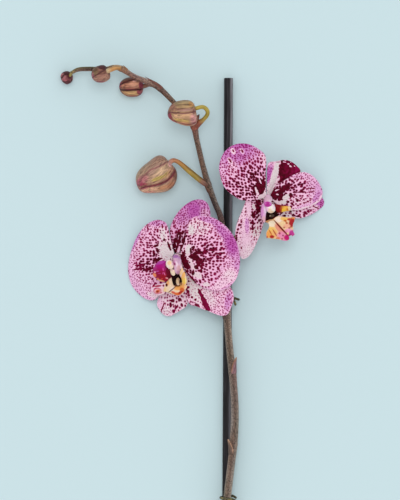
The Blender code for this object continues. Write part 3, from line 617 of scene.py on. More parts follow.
# Each line on a bud: its bearing from the side that faces up at five places from base to tip, its half width
# in mm, how deep it is as a share of the radius, and its colour.
BUD_LINES = {
    "bud_1": (
        ((-58, -44, -31, -24, 0), 1.1, 0.06, "#78303A"), ((8, 14, 31, 26, 20), 0.55, 0.012, "#8A5654"),
        ((-64, -72, -76, -84, -90), 0.4, 0.02, "#6A3A30"), ((-30, -24, -16, -8, 4), 0.3, 0.0, "#94604C"),
        ((-45, -34, -24, -16, 0), 0.25, 0.0, "#8A5040"), ((22, 30, 46, 48, 44), 0.25, 0.0, "#8E6252"),
        ((96, 96, 96, 96, 96), 0.9, 0.06, "#6E2F3A"), ((205, 205, 205, 205, 205), 0.9, 0.06, "#6E2F3A"),
    ),
    "bud_2": (
        ((7, 1, -3, 0, 26), 0.52, 0.06, "#6C3A40"), ((28, 22, 18, 24, 30), 0.3, 0.0, "#8A6450"),
        ((46, 40, 36, 40, 46), 0.25, 0.0, "#8A6450"), ((-60, -62, -66, -60, -50), 0.5, 0.0, "#94484C"),
        ((85, 85, 85, 85, 85), 0.9, 0.06, "#6E2F3A"), ((200, 200, 200, 200, 200), 0.9, 0.06, "#6E2F3A"),
    ),
    "bud_3": (
        ((-24, -20, -24, -30, -50), 0.75, 0.07, "#3A0A12"), ((66, 56, 41, 27, 16), 0.6, 0.06, "#4A181C"),
        ((-70, -74, -78, -70, -60), 0.6, 0.0, "#7A3038"), ((150, 150, 150, 150, 150), 0.9, 0.06, "#5A1F28"),
        ((250, 250, 250, 250, 250), 0.9, 0.06, "#5A1F28"),
    ),
    "bud_4": (
        ((30, 20, 9, 2, -6), 0.4, 0.05, "#5A2C2C"), ((-60, -46, -29, -25, -30), 0.25, 0.0, "#8A5A50"),
        ((110, 110, 110, 110, 110), 0.9, 0.06, "#4A1E20"), ((230, 230, 230, 230, 230), 0.9, 0.06, "#6E2F3A"),
    ),
    "bud_5": (
        ((60, 38, 18, 22, 40), 0.7, 0.06, "#3E1216"), ((150, 150, 150, 150, 150), 0.9, 0.06, "#4A1E20"),
        ((270, 270, 270, 270, 270), 0.9, 0.06, "#4A1E20"),
    ),
}
# The ground colour of each bud and the ovals of colour on it: x and y from its middle, half width, half
# height, turn in degrees, colour. A few of the ovals are painted highlights, marked where they stand.
BUD_TINTS_AND_HIGHLIGHTS = {
    "bud_1": (
        "#B28E74",
        (
            (-7.5, 6, 3, 9, -38, "#A68870"), (4, 13, 8, 3.4, 20, "#A07866"), (2, 9, 3, 8, -62, "#A88672"),
            (-1, 4.6, 2.2, 9, -52, "#B08A78"), (-9, -2.6, 4.4, 3, 30, "#B87274"),
            # The tan oval at 5, 4.2 is a painted highlight.
            (-11.6, -4.6, 2.4, 2.2, 0, "#B4586A"), (5, 4.2, 4.4, 2.6, 28, "#C9A584"),
            (2.9, -1.4, 5.6, 1.4, 20, "#BAA05A"), (9, 1.4, 4, 1.6, 40, "#B89A60"),
            (13, -1.4, 2.8, 7, 10, "#B8886E"), (15.6, 2.4, 1.6, 5, 0, "#8E5E4E"),
            # The pale pink oval at 11.6, 9.6 is a painted highlight.
            (11.6, 9.6, 1.5, 2.4, 0, "#DBA39C"), (14, 6, 1.2, 2.4, 20, "#B88A70"),
            (0, -10, 11, 2.2, 0, "#D8A888"), (-9.6, -6.2, 4.4, 1.2, 4, "#9A3A50"),
            (-9, -8.8, 3.6, 0.9, 4, "#E38A8C"), (7, -8.2, 5, 1.6, 16, "#C8906C"),
            (12, -6.6, 3, 2, 40, "#B98060"), (-4, -11.6, 5, 0.8, 0, "#D8927E"),
        ),
    ),
    "bud_2": (
        "#AE8C62",
        (
            (0, 6.5, 9, 2.6, 8, "#A4865E"), (7.6, 6.6, 2.4, 2, 0, "#BC8448"),
            (-7.4, 4, 3, 3.6, 30, "#9E6E5C"), (3, 1.8, 7, 1.1, 4, "#A27A6C"),
            (-2, 2.6, 5, 1.0, 4, "#A0745E"), (0, -3, 9, 2.4, 0, "#D0A27C"),
            (-1, -6, 6.4, 1.4, -6, "#C4A060"), (2, -8.4, 6, 1.4, -6, "#C88E6A"),
            (9, -5, 2.6, 4.6, 0, "#D0948E"), (-9.4, -1.6, 1.6, 4.6, 24, "#8E3A48"),
            (-6.6, -6.4, 3, 1.4, -30, "#A85A54"), (9.6, 1.2, 1.4, 2.4, 0, "#A06E5C"),
        ),
    ),
    "bud_3": (
        "#8E5A48",
        (
            (-4, 5, 4.6, 2.6, 25, "#6A3E30"), (3, 6.6, 4, 1.6, -10, "#5A2C2C"),
            (-3, 1.2, 5, 1.4, 10, "#B27860"), (3, 1.8, 4.4, 2.4, 0, "#C68C70"),
            # The pale pink oval at 2.8, 4.6 is a painted highlight.
            (2.8, 4.6, 1.9, 1.1, 10, "#D8A090"), (7.6, 1.4, 2, 3.4, 0, "#8A3A48"),
            (0, -5, 6.4, 2.2, 0, "#C89C6C"), (-5, -4.4, 3, 1.6, -30, "#B88A60"),
            (6.4, -4, 2.2, 2.2, 30, "#9A4A50"), (-8.6, 1.4, 1.2, 3, -16, "#A04A58"),
            (0, -2.4, 6, 0.7, 0, "#8A3A3C"), (1, -7, 4, 0.8, 0, "#A86850"),
        ),
    ),
    "bud_4": (
        "#9A6A5C",
        (
            (3, 5.4, 5, 2, -10, "#4A2022"), (-3.6, 3.6, 2.6, 2.6, 30, "#6A4A34"),
            (-2, 1, 3.4, 1.4, 20, "#8E6E50"), (2, 1.6, 3.4, 1.8, 10, "#7A4E40"),
            (0, -3.4, 6, 2.4, 0, "#A87A68"), (-5.6, -1.4, 1.8, 2.6, 0, "#A8646A"),
            (5.6, -2.4, 2.2, 2.4, 0, "#B0826E"), (0, -5.6, 4.6, 0.9, 0, "#9A5A5A"),
            (-6.6, 1.6, 0.9, 2, 20, "#6A3A38"),
        ),
    ),
    "bud_5": (
        "#7A4244",
        (
            (1, 3.4, 4, 1.8, 0, "#4A1A20"), (-3, 0.6, 2.2, 2.6, 20, "#AE6A6E"),
            (2.4, 0.6, 1.8, 1.6, 0, "#54242A"), (0, -3.4, 3.6, 1.6, 0, "#5A2A30"),
            (-1, -1.8, 1.6, 1, 0, "#A0585E"), (3.8, -1.6, 1.2, 1.8, 0, "#8A5050"),
            (-4.6, -2, 0.9, 2, 0, "#9A5058"),
        ),
    ),
}


def patched(place, ground, patches):
    """Spreads values over places: the ground's, changed by each patch in turn.

    A patch is an oval (x, y, half width, half height, turn in degrees, values). By how far r out from its
    middle a place is, its value counts for 1 near the middle and fades to nothing round r = 1: between 0.75
    and 1.25 for a narrow patch, and between 0.45 and 1.55 for one over 5 mm wide.
    """
    for x, y, wide, high, turned, values in patches:
        soft = 0.55 if min(wide, high) > 2.5 else 0.25
        cos, sin = np.cos(np.radians(turned)), np.sin(np.radians(turned))
        across, up = place[..., 0] - x, place[..., 1] - y
        r = np.hypot((across * cos + up * sin) / wide, (up * cos - across * sin) / high)
        weight = np.clip((1 + soft - r) / (2 * soft), 0, 1)
        weight = (weight * weight * (3 - 2 * weight))[..., None]
        ground = ground * (1 - weight) + np.array(values) * weight
    return ground


def painted(place, ground, patches):
    """Colours over places: the ground's hex colour, then ovals of other hex colours over it in turn."""
    base = np.broadcast_to(np.array(linear(ground)[:3]), (*place.shape[:2], 3))
    return patched(place, base, [(*patch[:5], linear(patch[5])[:3]) for patch in patches])


# Sepal skin of a closed bud: satin tan, olive and mauve, with brown veins about 1.1 mm apart down its length.
bud_finish = skin_finish(
    "closed bud sepal", ((0.9, 0.9, 0.09), 4.0, 0.65), (0.34, 0.62, 0.45, 1.28), (0.4, 0.0003),
    Roughness=0.45, Specular_IOR_Level=0.25
)

for name, (base, tip, radius, widest, pointed, turned, pit, bow) in BUDS.items():
    base, tip = np.array(base), np.array(tip)
    axis = unit(tip - base)
    length = np.linalg.norm(tip - base)
    front = unit(np.array([0, 0, 1.0]) - axis * axis[2])
    side = np.cross(axis, front)
    t = np.linspace(0.012, 0.988, 90)[:, None]
    angle = np.linspace(0, 2 * np.pi, 144, endpoint=False)[None, :]
    ahead = -pit + (length + pit) * (1 - np.cos(np.pi * t)) / 2
    # Round behind its widest place and drawn out ahead of it: (1 - y to 2.6) to 0.5, and (1 - x to a) to b.
    share = ahead / length
    behind = np.clip((widest - share) / (widest + pit / length), 0, 1)
    before = np.clip((share - widest) / (1 - widest), 0, 1)
    reach = radius * (1 - behind**2.6) ** 0.5 * (1 - before ** (2 - 0.7 * pointed)) ** (0.5 + 0.12 * pointed)
    ahead = ahead + np.where(t < 0.5, pit * np.exp(-((reach / (0.55 * radius)) ** 2)), 0)
    lobes = 1 + 0.03 * np.cos(3 * (angle - np.radians(turned)))
    bowed = np.polyval(np.polyfit([0, 0.25, 0.5, 0.75, 1], bow, 4), share)
    ends = np.clip(4 * t, 0, 1) * np.clip(6 * (1 - t), 0, 1)
    groove, darkened = 0, []
    for bearings, width, depth, colour in BUD_LINES[name]:
        bearing = np.interp(t, [0.1, 0.3, 0.5, 0.7, 0.9], np.radians(bearings))
        off = ((angle - bearing + np.pi) % (2 * np.pi) - np.pi) * np.maximum(reach, 2.0) / width
        groove = groove - depth * np.exp(-(off**2)) + 0.4 * depth * np.exp(-((off - 2) ** 2))
        darkened.append((np.clip(1.3 * np.exp(-(off**2)) * ends, 0, 1)[..., None], colour))
    outward = reach * (lobes + groove * ends) * 0.995
    middle = base + axis * ahead[..., None] - side * bowed[..., None]
    upward, sideways = outward * np.cos(angle), outward * np.sin(angle)
    points = middle + front * upward[..., None] + side * sideways[..., None]
    straight = np.stack([upward, sideways, np.broadcast_to(ahead, outward.shape)], axis=-1)
    tint = painted(points[..., :2] - (base + tip)[:2] / 2, *BUD_TINTS_AND_HIGHLIGHTS[name])
    for weight, colour in darkened:
        tint = tint * (1 - weight) + np.array(linear(colour)[:3]) * weight
    place_tube(name, points, {"grain": straight, "tint": tint}, bud_finish)

# ---------------------------------------------------------------- petals and sepals
# Each flower has three sepals behind and two broader petals in front of them. All are thin fleshy sheets that
# grow from a narrow claw beside the column, spotted over a pale ground.

CLAW_RADIUS = 3.2
EDGE_STEPS = 4000
SIDE_STEPS = 1480
CELL_WIDTH = 1.9
CURL_REACH = 45
# Each is its outline, by bearing in degrees and reach from the flower's centre, the height of its layer, how
# steeply it leans, how far it curls back, and how far its middle folds up.
TEPALS = {
    "flower_a_left_petal": (
        (
            (127, 4.5), (111, 15), (108, 23.6), (110, 28), (119, 31.8), (134, 33.6), (151, 33.8),
            (168, 34.4), (184, 36.4), (198, 38.6), (211, 40.1), (224, 40), (236, 38.8), (243, 35), (246, 25),
            (242, 13), (228, 5),
        ),
        1.6, -0.13, 5.0, 0.0,
    ),
    "flower_a_right_petal": (
        (
            (58, 4.5), (64, 13), (70, 19.2), (72, 25.7), (69, 31.2), (61, 35.3), (50, 39.2), (37, 42),
            (22, 44.6), (7, 46.2), (-7, 47), (-20, 46.8), (-31, 44.2), (-41, 38.6), (-49, 30.5), (-56, 22),
            (-60, 13), (-48, 5),
        ),
        1.6, -0.02, 5.0, 0.0,
    ),
    "flower_a_dorsal_sepal": (
        (
            (121, 4.5), (112, 12), (106, 20.7), (98, 26.8), (90, 33), (82, 39), (75, 43.6), (69, 46.2),
            (63, 46.6), (57, 44), (50, 38), (44, 29.5), (43, 19), (49, 10), (66, 4.5),
        ),
        -1.0, -0.2, 4.0, 0.0,
    ),
    "flower_a_right_lateral_sepal": (
        (
            (-83, 5), (-80, 15), (-78, 27), (-76, 35.6), (-69, 39.6), (-61, 45.8), (-54, 54), (-49, 56.9),
            (-43, 55), (-36, 52), (-30, 46), (-26, 36), (-24, 24), (-22, 12), (-14, 5),
        ),
        -1.0, -0.10, 3.0, 0.0,
    ),
    "flower_a_left_lateral_sepal": (
        (
            (228, 5), (240, 13), (244, 26), (246, 37.4), (252, 42.2), (258, 44.8), (263, 44.6), (268, 42.2),
            (275, 39.3), (282, 36), (285, 28), (284, 15), (274, 5),
        ),
        -3.0, -0.13, 3.0, 0.0,
    ),
    "flower_b_left_petal": (
        (
            (100, 4.5), (93.8, 18), (92, 31.2), (100, 37.8), (110, 43.6), (121, 47.3), (133, 47.3),
            (145, 43.8), (156, 38), (166, 32.3), (176, 24.5), (184, 17.8), (188, 10), (176, 4.5),
        ),
        1.6, -0.12, 4.0, 0.0,
    ),
    "flower_b_right_petal": (
        (
            (52, 4.5), (56, 11.7), (47, 18.7), (42, 27.5), (36, 34), (27, 38.2), (16, 40.9), (6, 41.8),
            (-3, 39), (-11, 31.8), (-19, 25.2), (-28, 17), (-30, 10), (-18, 4.5),
        ),
        1.6, -0.02, 4.0, 0.0,
    ),
    "flower_b_dorsal_sepal": (
        (
            (94, 4.5), (90.5, 15), (88.5, 26.2), (77, 28.6), (66, 32), (57, 33.2), (48, 33.2), (40, 32.6),
            (34, 27), (34, 18), (38, 10), (46, 4.5),
        ),
        -1.2, -0.06, 1.0, -2.5,
    ),
    "flower_b_right_lateral_sepal": (
        (
            (-8, 4.5), (3, 14), (6, 28), (5, 38), (0, 42), (-6, 42.6), (-13, 38.8), (-21, 34), (-30, 28.8),
            (-38, 23.4), (-46, 20.4), (-54, 18), (-62, 14.6), (-66, 9), (-54, 4.5),
        ),
        -1.4, -0.065, 2.0, 0.0,
    ),
    "flower_b_left_lateral_sepal": (
        (
            (170, 5), (148, 10), (146, 15.4), (166, 15.4), (188, 16.6), (206, 21), (219, 29), (229, 36.5),
            (239, 42.4), (247, 48.6), (253, 43.6), (257, 32), (261, 20), (258, 9), (236, 4.5),
        ),
        -1.4, -0.2, 3.0, 3.0,
    ),
}


def coons(left, right, foot, tip):
    """A grid of points that fills the space between four edges which meet at their corners.

    It is the blend of the two sides plus the blend of the two ends, less the blend of the four corners.
    """
    v = np.linspace(0, 1, len(left))[:, None, None]
    u = np.linspace(0, 1, len(foot))[None, :, None]
    sides = left[:, None] * (1 - u) + right[:, None] * u
    ends = foot[None] * (1 - v) + tip[None] * v
    corners = (foot[0] * (1 - u) + foot[-1] * u) * (1 - v) + (tip[0] * (1 - u) + tip[-1] * u) * v
    return sides + ends - corners


def tepal_plan(outline, shift, rows=129, columns=97):
    """A tepal's grid of places in plan. Its claw is an arc, and the rest of its edge one curve round its rim.

    The curve is cut into even steps. Those at its two ends make the sides, and those between them the tip.
    """
    bearing, reach = np.radians([b for b, _ in outline]), np.array([r for _, r in outline])
    rim = np.stack([np.cos(bearing), np.sin(bearing)], axis=1) * reach[:, None]
    across = unit(np.linspace(rim[0], rim[-1], columns))
    claw = shift + across * CLAW_RADIUS
    edge = smooth(np.vstack([claw[0], rim, claw[-1]]), EDGE_STEPS + 1)
    left = edge[np.linspace(0, SIDE_STEPS, rows).astype(int)]
    right = edge[np.linspace(EDGE_STEPS, EDGE_STEPS - SIDE_STEPS, rows).astype(int)]
    tip = edge[np.linspace(SIDE_STEPS, EDGE_STEPS - SIDE_STEPS, columns).astype(int)]
    return coons(left, right, claw, tip)


# How the markings change outwards on every tepal: distance from the flower's centre, share of the ground that
# the spots cover, tone of the spots from dark maroon to mauve, and how far the ground is washed with mauve.
MARKS = {
    "flower_a_left_petal": (
        (0, 0.02, 0.0, 0.0), (12, 0.24, 0.0, 0.15), (17, 0.44, 0.05, 0.36), (26, 0.4, 0.25, 0.42),
        (33, 0.32, 0.4, 0.42), (37, 0.17, 0.55, 0.48),
    ),
    "flower_a_right_petal": (
        (0, 0.3, 0.0, 0.1), (10, 0.45, 0.0, 0.3), (20, 0.47, 0.08, 0.4), (32, 0.42, 0.2, 0.45),
        (40, 0.3, 0.45, 0.5), (46, 0.15, 0.7, 0.6),
    ),
    "flower_a_dorsal_sepal": (
        (0, 0.7, 0.0, 0.3), (14, 0.76, 0.02, 0.45), (23, 0.5, 0.25, 0.55), (33, 0.36, 0.5, 0.68),
        (46, 0.3, 0.7, 0.8),
    ),
    "flower_a_right_lateral_sepal": (
        (0, 0.2, 0.0, 0.1), (20, 0.3, 0.1, 0.1), (35, 0.3, 0.3, 0.3), (57, 0.25, 0.5, 0.45),
    ),
    "flower_a_left_lateral_sepal": (
        (0, 0.26, 0.1, 0.16), (30, 0.22, 0.16, 0.18), (38, 0.2, 0.18, 0.18), (46, 0.12, 0.5, 0.3),
    ),
    "flower_b_left_petal": (
        (0, 0.3, 0.0, 0.1), (10, 0.7, 0.0, 0.3), (20, 0.6, 0.0, 0.45), (30, 0.52, 0.15, 0.52),
        (42, 0.4, 0.5, 0.7), (48, 0.3, 0.7, 0.9),
    ),
    "flower_b_right_petal": (
        (0, 0.9, 0.0, 0.2), (12, 0.56, 0.0, 0.3), (24, 0.43, 0.1, 0.35), (34, 0.3, 0.4, 0.42),
        (42, 0.1, 0.7, 0.5),
    ),
    "flower_b_dorsal_sepal": ((0, 0.2, 0.0, 0.1), (34, 0.3, 0.2, 0.3)),
    "flower_b_right_lateral_sepal": (
        (0, 0.3, 0.0, 0.0), (20, 0.35, 0.1, 0.1), (30, 0.38, 0.2, 0.3), (42, 0.25, 0.5, 0.5),
    ),
    "flower_b_left_lateral_sepal": (
        (0, 0.5, 0.0, 0.1), (18, 0.42, 0.08, 0.25), (27, 0.27, 0.15, 0.2), (38, 0.14, 0.3, 0.25),
        (52, 0.07, 0.5, 0.2),
    ),
}
# Where they depart from that: ovals of clear ground, of solid maroon, of mauve, and single streaks and spots.
# Each is x, y, half width, half height, turn in degrees, then the same three values.
PATCHES = {
    "flower_a_left_petal": (
        (-22, -4, 8, 7, 10, (0.6, 0.05, 0.4)), (-28, 12, 5, 7, 20, (0.42, 0.25, 0.4)),
        (-31.5, 14, 2.5, 12, -22, (0.25, 0.7, 0.75)), (-16, 26, 8, 3, -8, (0.4, 0.55, 0.65)),
        (-9.5, 5, 4.6, 6.8, 18, (0.0, 0.0, 0.0)), (-4, 2.4, 4, 3, 0, (0.0, 0.0, 0.0)),
        (-10.5, 16.5, 2.6, 5.5, 12, (0.06, 0.0, 0.02)), (-15, -29, 8, 2.4, -14, (0.06, 0.5, 0.15)),
        (-9.8, 12.7, 1.0, 0.8, 0, (1, 0, 0)), (-6.1, 8.2, 0.9, 3.4, 22, (1, 0, 0)),
        (-14.7, 4.9, 0.9, 1.9, 8, (1, 0, 0)), (-14.6, -1.9, 3.4, 0.9, 14, (1, 0, 0)),
        (-17.5, 3.2, 0.8, 2.2, 12, (1, 0, 0)), (-22, -9.1, 4.2, 0.9, 15, (1, 0.05, 0)),
        (-28, -5.9, 4.6, 0.6, 11, (1, 0.15, 0)), (-29.5, -8.9, 3.2, 0.6, 10, (1, 0.15, 0)),
        (-22.3, 22, 0.45, 2.6, 12, (1, 0.2, 0.2)), (-11.2, 22.8, 0.45, 1.7, 0, (1, 0.2, 0.2)),
        (-16, 8.4, 2.2, 0.8, 15, (1, 0, 0)), (-17, -21.6, 1.9, 0.9, 10, (1, 0.1, 0)),
        (-13.5, -22.2, 1.8, 0.7, 0, (1, 0.1, 0)),
    ),
    "flower_a_right_petal": (
        (26, 3, 9, 8, 0, (0.62, 0.06, 0.45)), (16, 22, 8, 6, 0, (0.34, 0.3, 0.15)),
        (10.5, 20, 2.4, 4, 0, (0.05, 0.3, 0.0)), (24, 27.5, 9, 2.2, -14, (0.35, 0.6, 0.7)),
        (35, 18, 3, 10, 42, (0.4, 0.75, 0.85)), (40.5, 9, 4.6, 8, 12, (0.42, 0.8, 1.0)),
        (45, -6, 2, 10, -6, (0.3, 0.7, 0.65)), (39, -14, 6, 5, 35, (0.12, 0.5, 0.2)),
        (33, -20, 8, 3, 32, (0.14, 0.6, 0.3)), (8, 5.5, 1.9, 4.2, -8, (0.0, 0.0, 0.0)),
        (10.5, -5, 1.7, 6, 26, (0.0, 0.0, 0.15)), (15, -13.5, 4, 2.2, -22, (0.0, 0.0, 0.1)),
        (21.5, -20.3, 3, 1.7, -10, (0.0, 0.0, 0.1)), (5.6, -3.6, 2.7, 5.6, 27, (1, 0, 0)),
        (4.4, 1.6, 1.2, 2.4, -20, (1, 0, 0)), (7.8, -7, 1.6, 2.2, 10, (1, 0, 0)),
        (12.6, 0.2, 4.0, 2.4, -12, (0.93, 0, 0.2)), (17, -4, 4.4, 3.2, -30, (0.86, 0, 0.3)),
        (22, -4, 3.2, 3.4, 0, (0.7, 0.1, 0.4)), (14.2, -7.6, 1.6, 1.6, 0, (1, 0, 0)),
        (14.6, 3.5, 3.2, 1.3, 25, (0.88, 0, 0.3)), (20, 3.6, 3.4, 0.8, 8, (1, 0.05, 0)),
        (10, 5, 0.7, 1.8, 0, (1, 0, 0)), (12, 7.2, 1.3, 1.1, 30, (1, 0, 0)),
        (31, 2.5, 3.6, 0.6, 8, (1, 0.1, 0)), (27, 5.6, 2.6, 0.6, 20, (1, 0.1, 0)),
        (11.8, -12, 1.2, 1.9, -10, (1, 0, 0)), (17.6, -10.2, 1.4, 1.1, 0, (1, 0.05, 0)),
        # The two long maroon streaks below lie along the petal's lower edge. They are partly a maroon edge
        # line and partly a painted shadow of that edge.
        (9.2, -13.6, 0.55, 5.6, 43, (1, 0.1, 0)), (13.4, -19.4, 0.8, 3.6, 32, (1, 0.1, 0)),
    ),
    "flower_a_dorsal_sepal": (
        (13, 34.5, 7.5, 6.5, -25, (0.3, 0.85, 1.0)), (4, 31, 3, 6, -28, (0.45, 0.6, 0.75)),
        (20.5, 32, 3.6, 5, 0, (0.4, 0.5, 0.5)), (20, 40, 4, 3, -30, (0.4, 0.7, 0.75)),
        (10, 41, 3.5, 1.8, 25, (0.5, 0.75, 0.95)), (3.5, 15, 4, 4.5, 0, (0.84, 0.0, 0.35)),
        (-2, 8.4, 2.2, 5.2, 4, (0.97, 0, 0.3)), (4.3, 8.8, 1.6, 6, -8, (1, 0, 0.3)),
        (1.2, 12, 3.4, 2.4, 0, (0.85, 0, 0.3)), (1, 5, 0.8, 3.6, -12, (0.0, 0, 0.35)),
        (3.2, 9.8, 0.9, 0.5, 0, (0.0, 0, 0.35)), (-3.2, 13, 0.22, 3.0, 4, (0.1, 0, 0.45)),
        (-0.6, 9.4, 0.28, 1.4, 10, (0.0, 0, 0.4)), (-1.6, 6.2, 0.5, 0.35, 0, (0, 0, 0.4)),
        (0.8, 14.6, 0.22, 1.8, -8, (0.1, 0, 0.45)), (3, 13.6, 0.25, 1.6, -10, (0.1, 0, 0.45)),
        (-1, 16, 0.25, 2.0, 0, (0.1, 0, 0.5)), (4.6, 15.4, 0.3, 2.0, -14, (0.0, 0, 0.45)),
        (-4, 17, 1.6, 7, 0, (0.42, 0.2, 0.45)),
    ),
    "flower_a_right_lateral_sepal": (
        (12.5, -24, 4.4, 11, 24, (0.03, 0.1, 0.0)), (31, -30, 6, 12, 30, (0.3, 0.35, 0.35)),
        (38, -33, 2.6, 7, -8, (0.35, 0.6, 0.7)), (24, -30, 3.4, 8, 30, (0.12, 0.4, 0.15)),
        (17.5, -27.6, 1.2, 3.8, 24, (1, 0.17, 0.3)), (20.3, -33.6, 1.9, 5.4, 22, (1, 0.2, 0.3)),
        (22.4, -37.8, 1.9, 3.2, 30, (1, 0.2, 0.3)), (14.8, -35.9, 1.6, 1.2, -35, (1, 0.15, 0)),
        (13.4, -32, 0.8, 0.8, 0, (1, 0.15, 0)), (11, -30, 0.9, 0.9, 0, (1, 0.1, 0)),
        (8.2, -22.6, 1.1, 0.9, 30, (1, 0.1, 0)), (8, -25.9, 1.2, 1.4, 0, (1, 0.1, 0)),
        (8.6, -28.6, 1.1, 0.8, 0, (1, 0.1, 0)), (8.6, -18, 0.7, 0.7, 0, (1, 0.1, 0)),
    ),
    "flower_a_left_lateral_sepal": (
        (-13.5, -35, 3, 6, 12, (0.06, 0.5, 0.35)), (-8, -40, 3, 3, 0, (0.16, 0.4, 0.1)),
        (-11.1, -37.9, 0.5, 3.8, -20, (1, 0.2, 0.2)), (-2.6, -40.6, 1.1, 1.4, 0, (1, 0.15, 0)),
        (-3.6, -32.6, 1.6, 1.3, 20, (1, 0.1, 0)), (1.8, -31.6, 1.4, 1.1, 0, (1, 0.1, 0)),
        (3.4, -36, 1, 1.6, 15, (1, 0.2, 0)), (-0.6, -37.6, 1.6, 0.9, 40, (1, 0.2, 0)),
        (-5, -36, 1, 2, 0, (1, 0.1, 0)),
    ),
    "flower_b_left_petal": (
        (-22, 33, 11, 6, 20, (0.45, 0.55, 0.85)), (-18, 39.5, 10, 2, 8, (0.55, 0.6, 0.95)),
        (-33.5, 20, 2.6, 9, 0, (0.4, 0.5, 0.5)), (-20, 8, 12, 8, -30, (0.6, 0.03, 0.4)),
        (-26, 22, 4, 6, 0, (0.4, 0.3, 0.4)), (-2, 29, 3, 4.5, 25, (0.3, 0.25, 0.25)),
        (-10, 17, 5, 4, -20, (0.7, 0.0, 0.4)), (-5.5, 10.2, 3.6, 4.2, -25, (0.97, 0, 0.25)),
        (-4.6, 6.6, 2.4, 3.4, 0, (1, 0, 0.2)), (-3.8, 1.3, 3.8, 2.0, 0, (0.0, 0, 0.05)),
        (-1.8, 3.4, 1.4, 2.2, 0, (0.0, 0, 0.05)), (-8, 5.6, 1.0, 3.2, 20, (0.0, 0, 0.15)),
        (-9.8, 5.6, 0.9, 3.6, 18, (1, 0, 0.1)), (-5.6, 13.6, 0.5, 2.6, 24, (0.05, 0, 0.3)),
        (-25.6, 35.6, 1.7, 2.6, 28, (0.0, 0.3, 0.25)), (-18.9, 35.6, 1.4, 2.4, 28, (0.05, 0.3, 0.4)),
        (-28, 28.4, 1.5, 3, 34, (0.0, 0.3, 0.3)), (-25.4, 35.8, 0.55, 1.3, 28, (1, 0.25, 0.3)),
        (-18.7, 35.7, 0.6, 1.5, 28, (1, 0.15, 0.3)), (-27.8, 28.4, 0.65, 2.1, 34, (1, 0.15, 0.3)),
    ),
    "flower_b_right_petal": (
        (24, 9, 9, 5, 12, (0.58, 0.06, 0.42)), (22, 17.2, 8, 1.8, -6, (0.4, 0.4, 0.5)),
        (35, 9, 5, 7, 20, (0.25, 0.55, 0.5)), (39, 4, 2.4, 8, 14, (0.12, 0.7, 0.6)),
        (24, -1, 10, 3, -6, (0.35, 0.25, 0.3)), (30, -5, 9, 1.8, 14, (0.1, 0.6, 0.5)),
        (13, 8, 5.4, 2.6, 28, (0.88, 0.0, 0.3)), (6, 4.4, 4.6, 3.4, 25, (1, 0, 0.2)),
        (9.6, 1.6, 4.4, 2.6, -15, (1, 0, 0.2)), (7.2, 6.6, 1.8, 0.5, 20, (0.0, 0, 0.3)),
        (7.4, 3.4, 1.2, 0.5, -10, (0.0, 0, 0.3)), (14.2, 1.2, 3.4, 2.2, 38, (0.0, 0, 0.0)),
        (12, -2.4, 3, 1.6, 0, (0.0, 0, 0.0)), (15.4, -2.2, 1.2, 1.0, 0, (1, 0, 0)),
        (18.6, -3.8, 0.9, 0.8, 0, (1, 0, 0)), (22.4, -1.2, 1, 1.3, 0, (1, 0.05, 0)),
        (17.6, 2.6, 1.4, 1.8, 0, (1, 0, 0)), (25.6, 5.2, 3.4, 0.6, 4, (1, 0.1, 0)),
        (32.6, 7.9, 3.4, 0.45, 4, (1, 0.2, 0)), (33, 5.4, 2.6, 0.4, 8, (1, 0.2, 0)),
        (6.6, -2.4, 4.4, 1.0, -26, (0, 0, 0.15)), (36.8, 1.6, 1.8, 5.0, -32, (0.28, 0.7, 0.72)),
        (40.1, 0.6, 0.8, 3.6, -22, (0.0, 0.3, 0.25)), (35.2, -3.7, 4.0, 0.7, 34, (0.0, 0.3, 0.15)),
        (27.6, -6.8, 4.8, 0.7, 17, (0.0, 0.3, 0.15)), (20, -8.2, 4, 0.6, 4, (0.0, 0.3, 0.15)),
    ),
    "flower_b_dorsal_sepal": (
        (1.0, 18, 3.0, 7.5, -14, (0.3, 0.7, 1.0)), (5.2, 17.5, 2.3, 12, -16, (0.0, 0.2, 0.0)),
        (2.6, 7, 3, 5, 0, (0.0, 0.2, 0.0)), (11.3, 20, 2.6, 11, -3, (1, 0.06, 0.3)),
        (15.5, 20, 2.45, 11, 0, (1, 0.1, 0.3)), (19.4, 19.5, 2.45, 10, 0, (1, 0.17, 0.3)),
        (23.2, 20, 2.45, 8.5, 0, (1, 0.28, 0.3)), (12.8, 27.6, 1.2, 0.45, -10, (0, 0.2, 0.3)),
        (15.8, 26.2, 0.9, 0.5, -20, (0, 0.2, 0.3)), (17.4, 24.4, 1.0, 0.55, -35, (0, 0.2, 0.3)),
        (20.4, 24.6, 0.7, 0.4, -40, (0, 0.2, 0.3)),
    ),
    "flower_b_right_lateral_sepal": (
        (39.5, -2.5, 3.4, 4.5, 0, (0.45, 0.6, 0.95)), (14, -12.2, 7.5, 2.6, 0, (0.2, 0.0, 0.0)),
        (26, -10.6, 6, 2.4, 6, (0.55, 0.15, 0.3)), (34, -6.6, 5, 1.9, 12, (0.1, 0.3, 0.3)),
        (36.7, -6.3, 2.9, 0.45, -19, (1, 0.12, 0.3)), (31.8, -8.2, 2.4, 0.38, 2, (1, 0.12, 0.3)),
        (28.7, -10.8, 2.6, 0.4, -12, (1, 0.12, 0.3)), (13, -12.6, 1.1, 0.8, 0, (1, 0, 0)),
        (17.6, -9.6, 0.9, 0.7, 0, (1, 0, 0)), (19.4, -12.2, 1, 1, 0, (1, 0, 0)),
        (22.8, -13, 1.3, 0.7, 0, (1, 0, 0)), (10.4, -10.4, 0.9, 0.6, 0, (1, 0, 0)),
    ),
    "flower_b_left_lateral_sepal": (
        (-9, -8, 5, 16, 0, (0.6, 0.05, 0.35)), (-14.2, -2, 2.1, 13, 4, (0.02, 0.5, 0.3)),
        (-16, -27, 3.4, 16, 6, (0.03, 0.5, 0.3)), (-15.2, -20, 1.6, 6, 2, (0.25, 0.9, 0.62)),
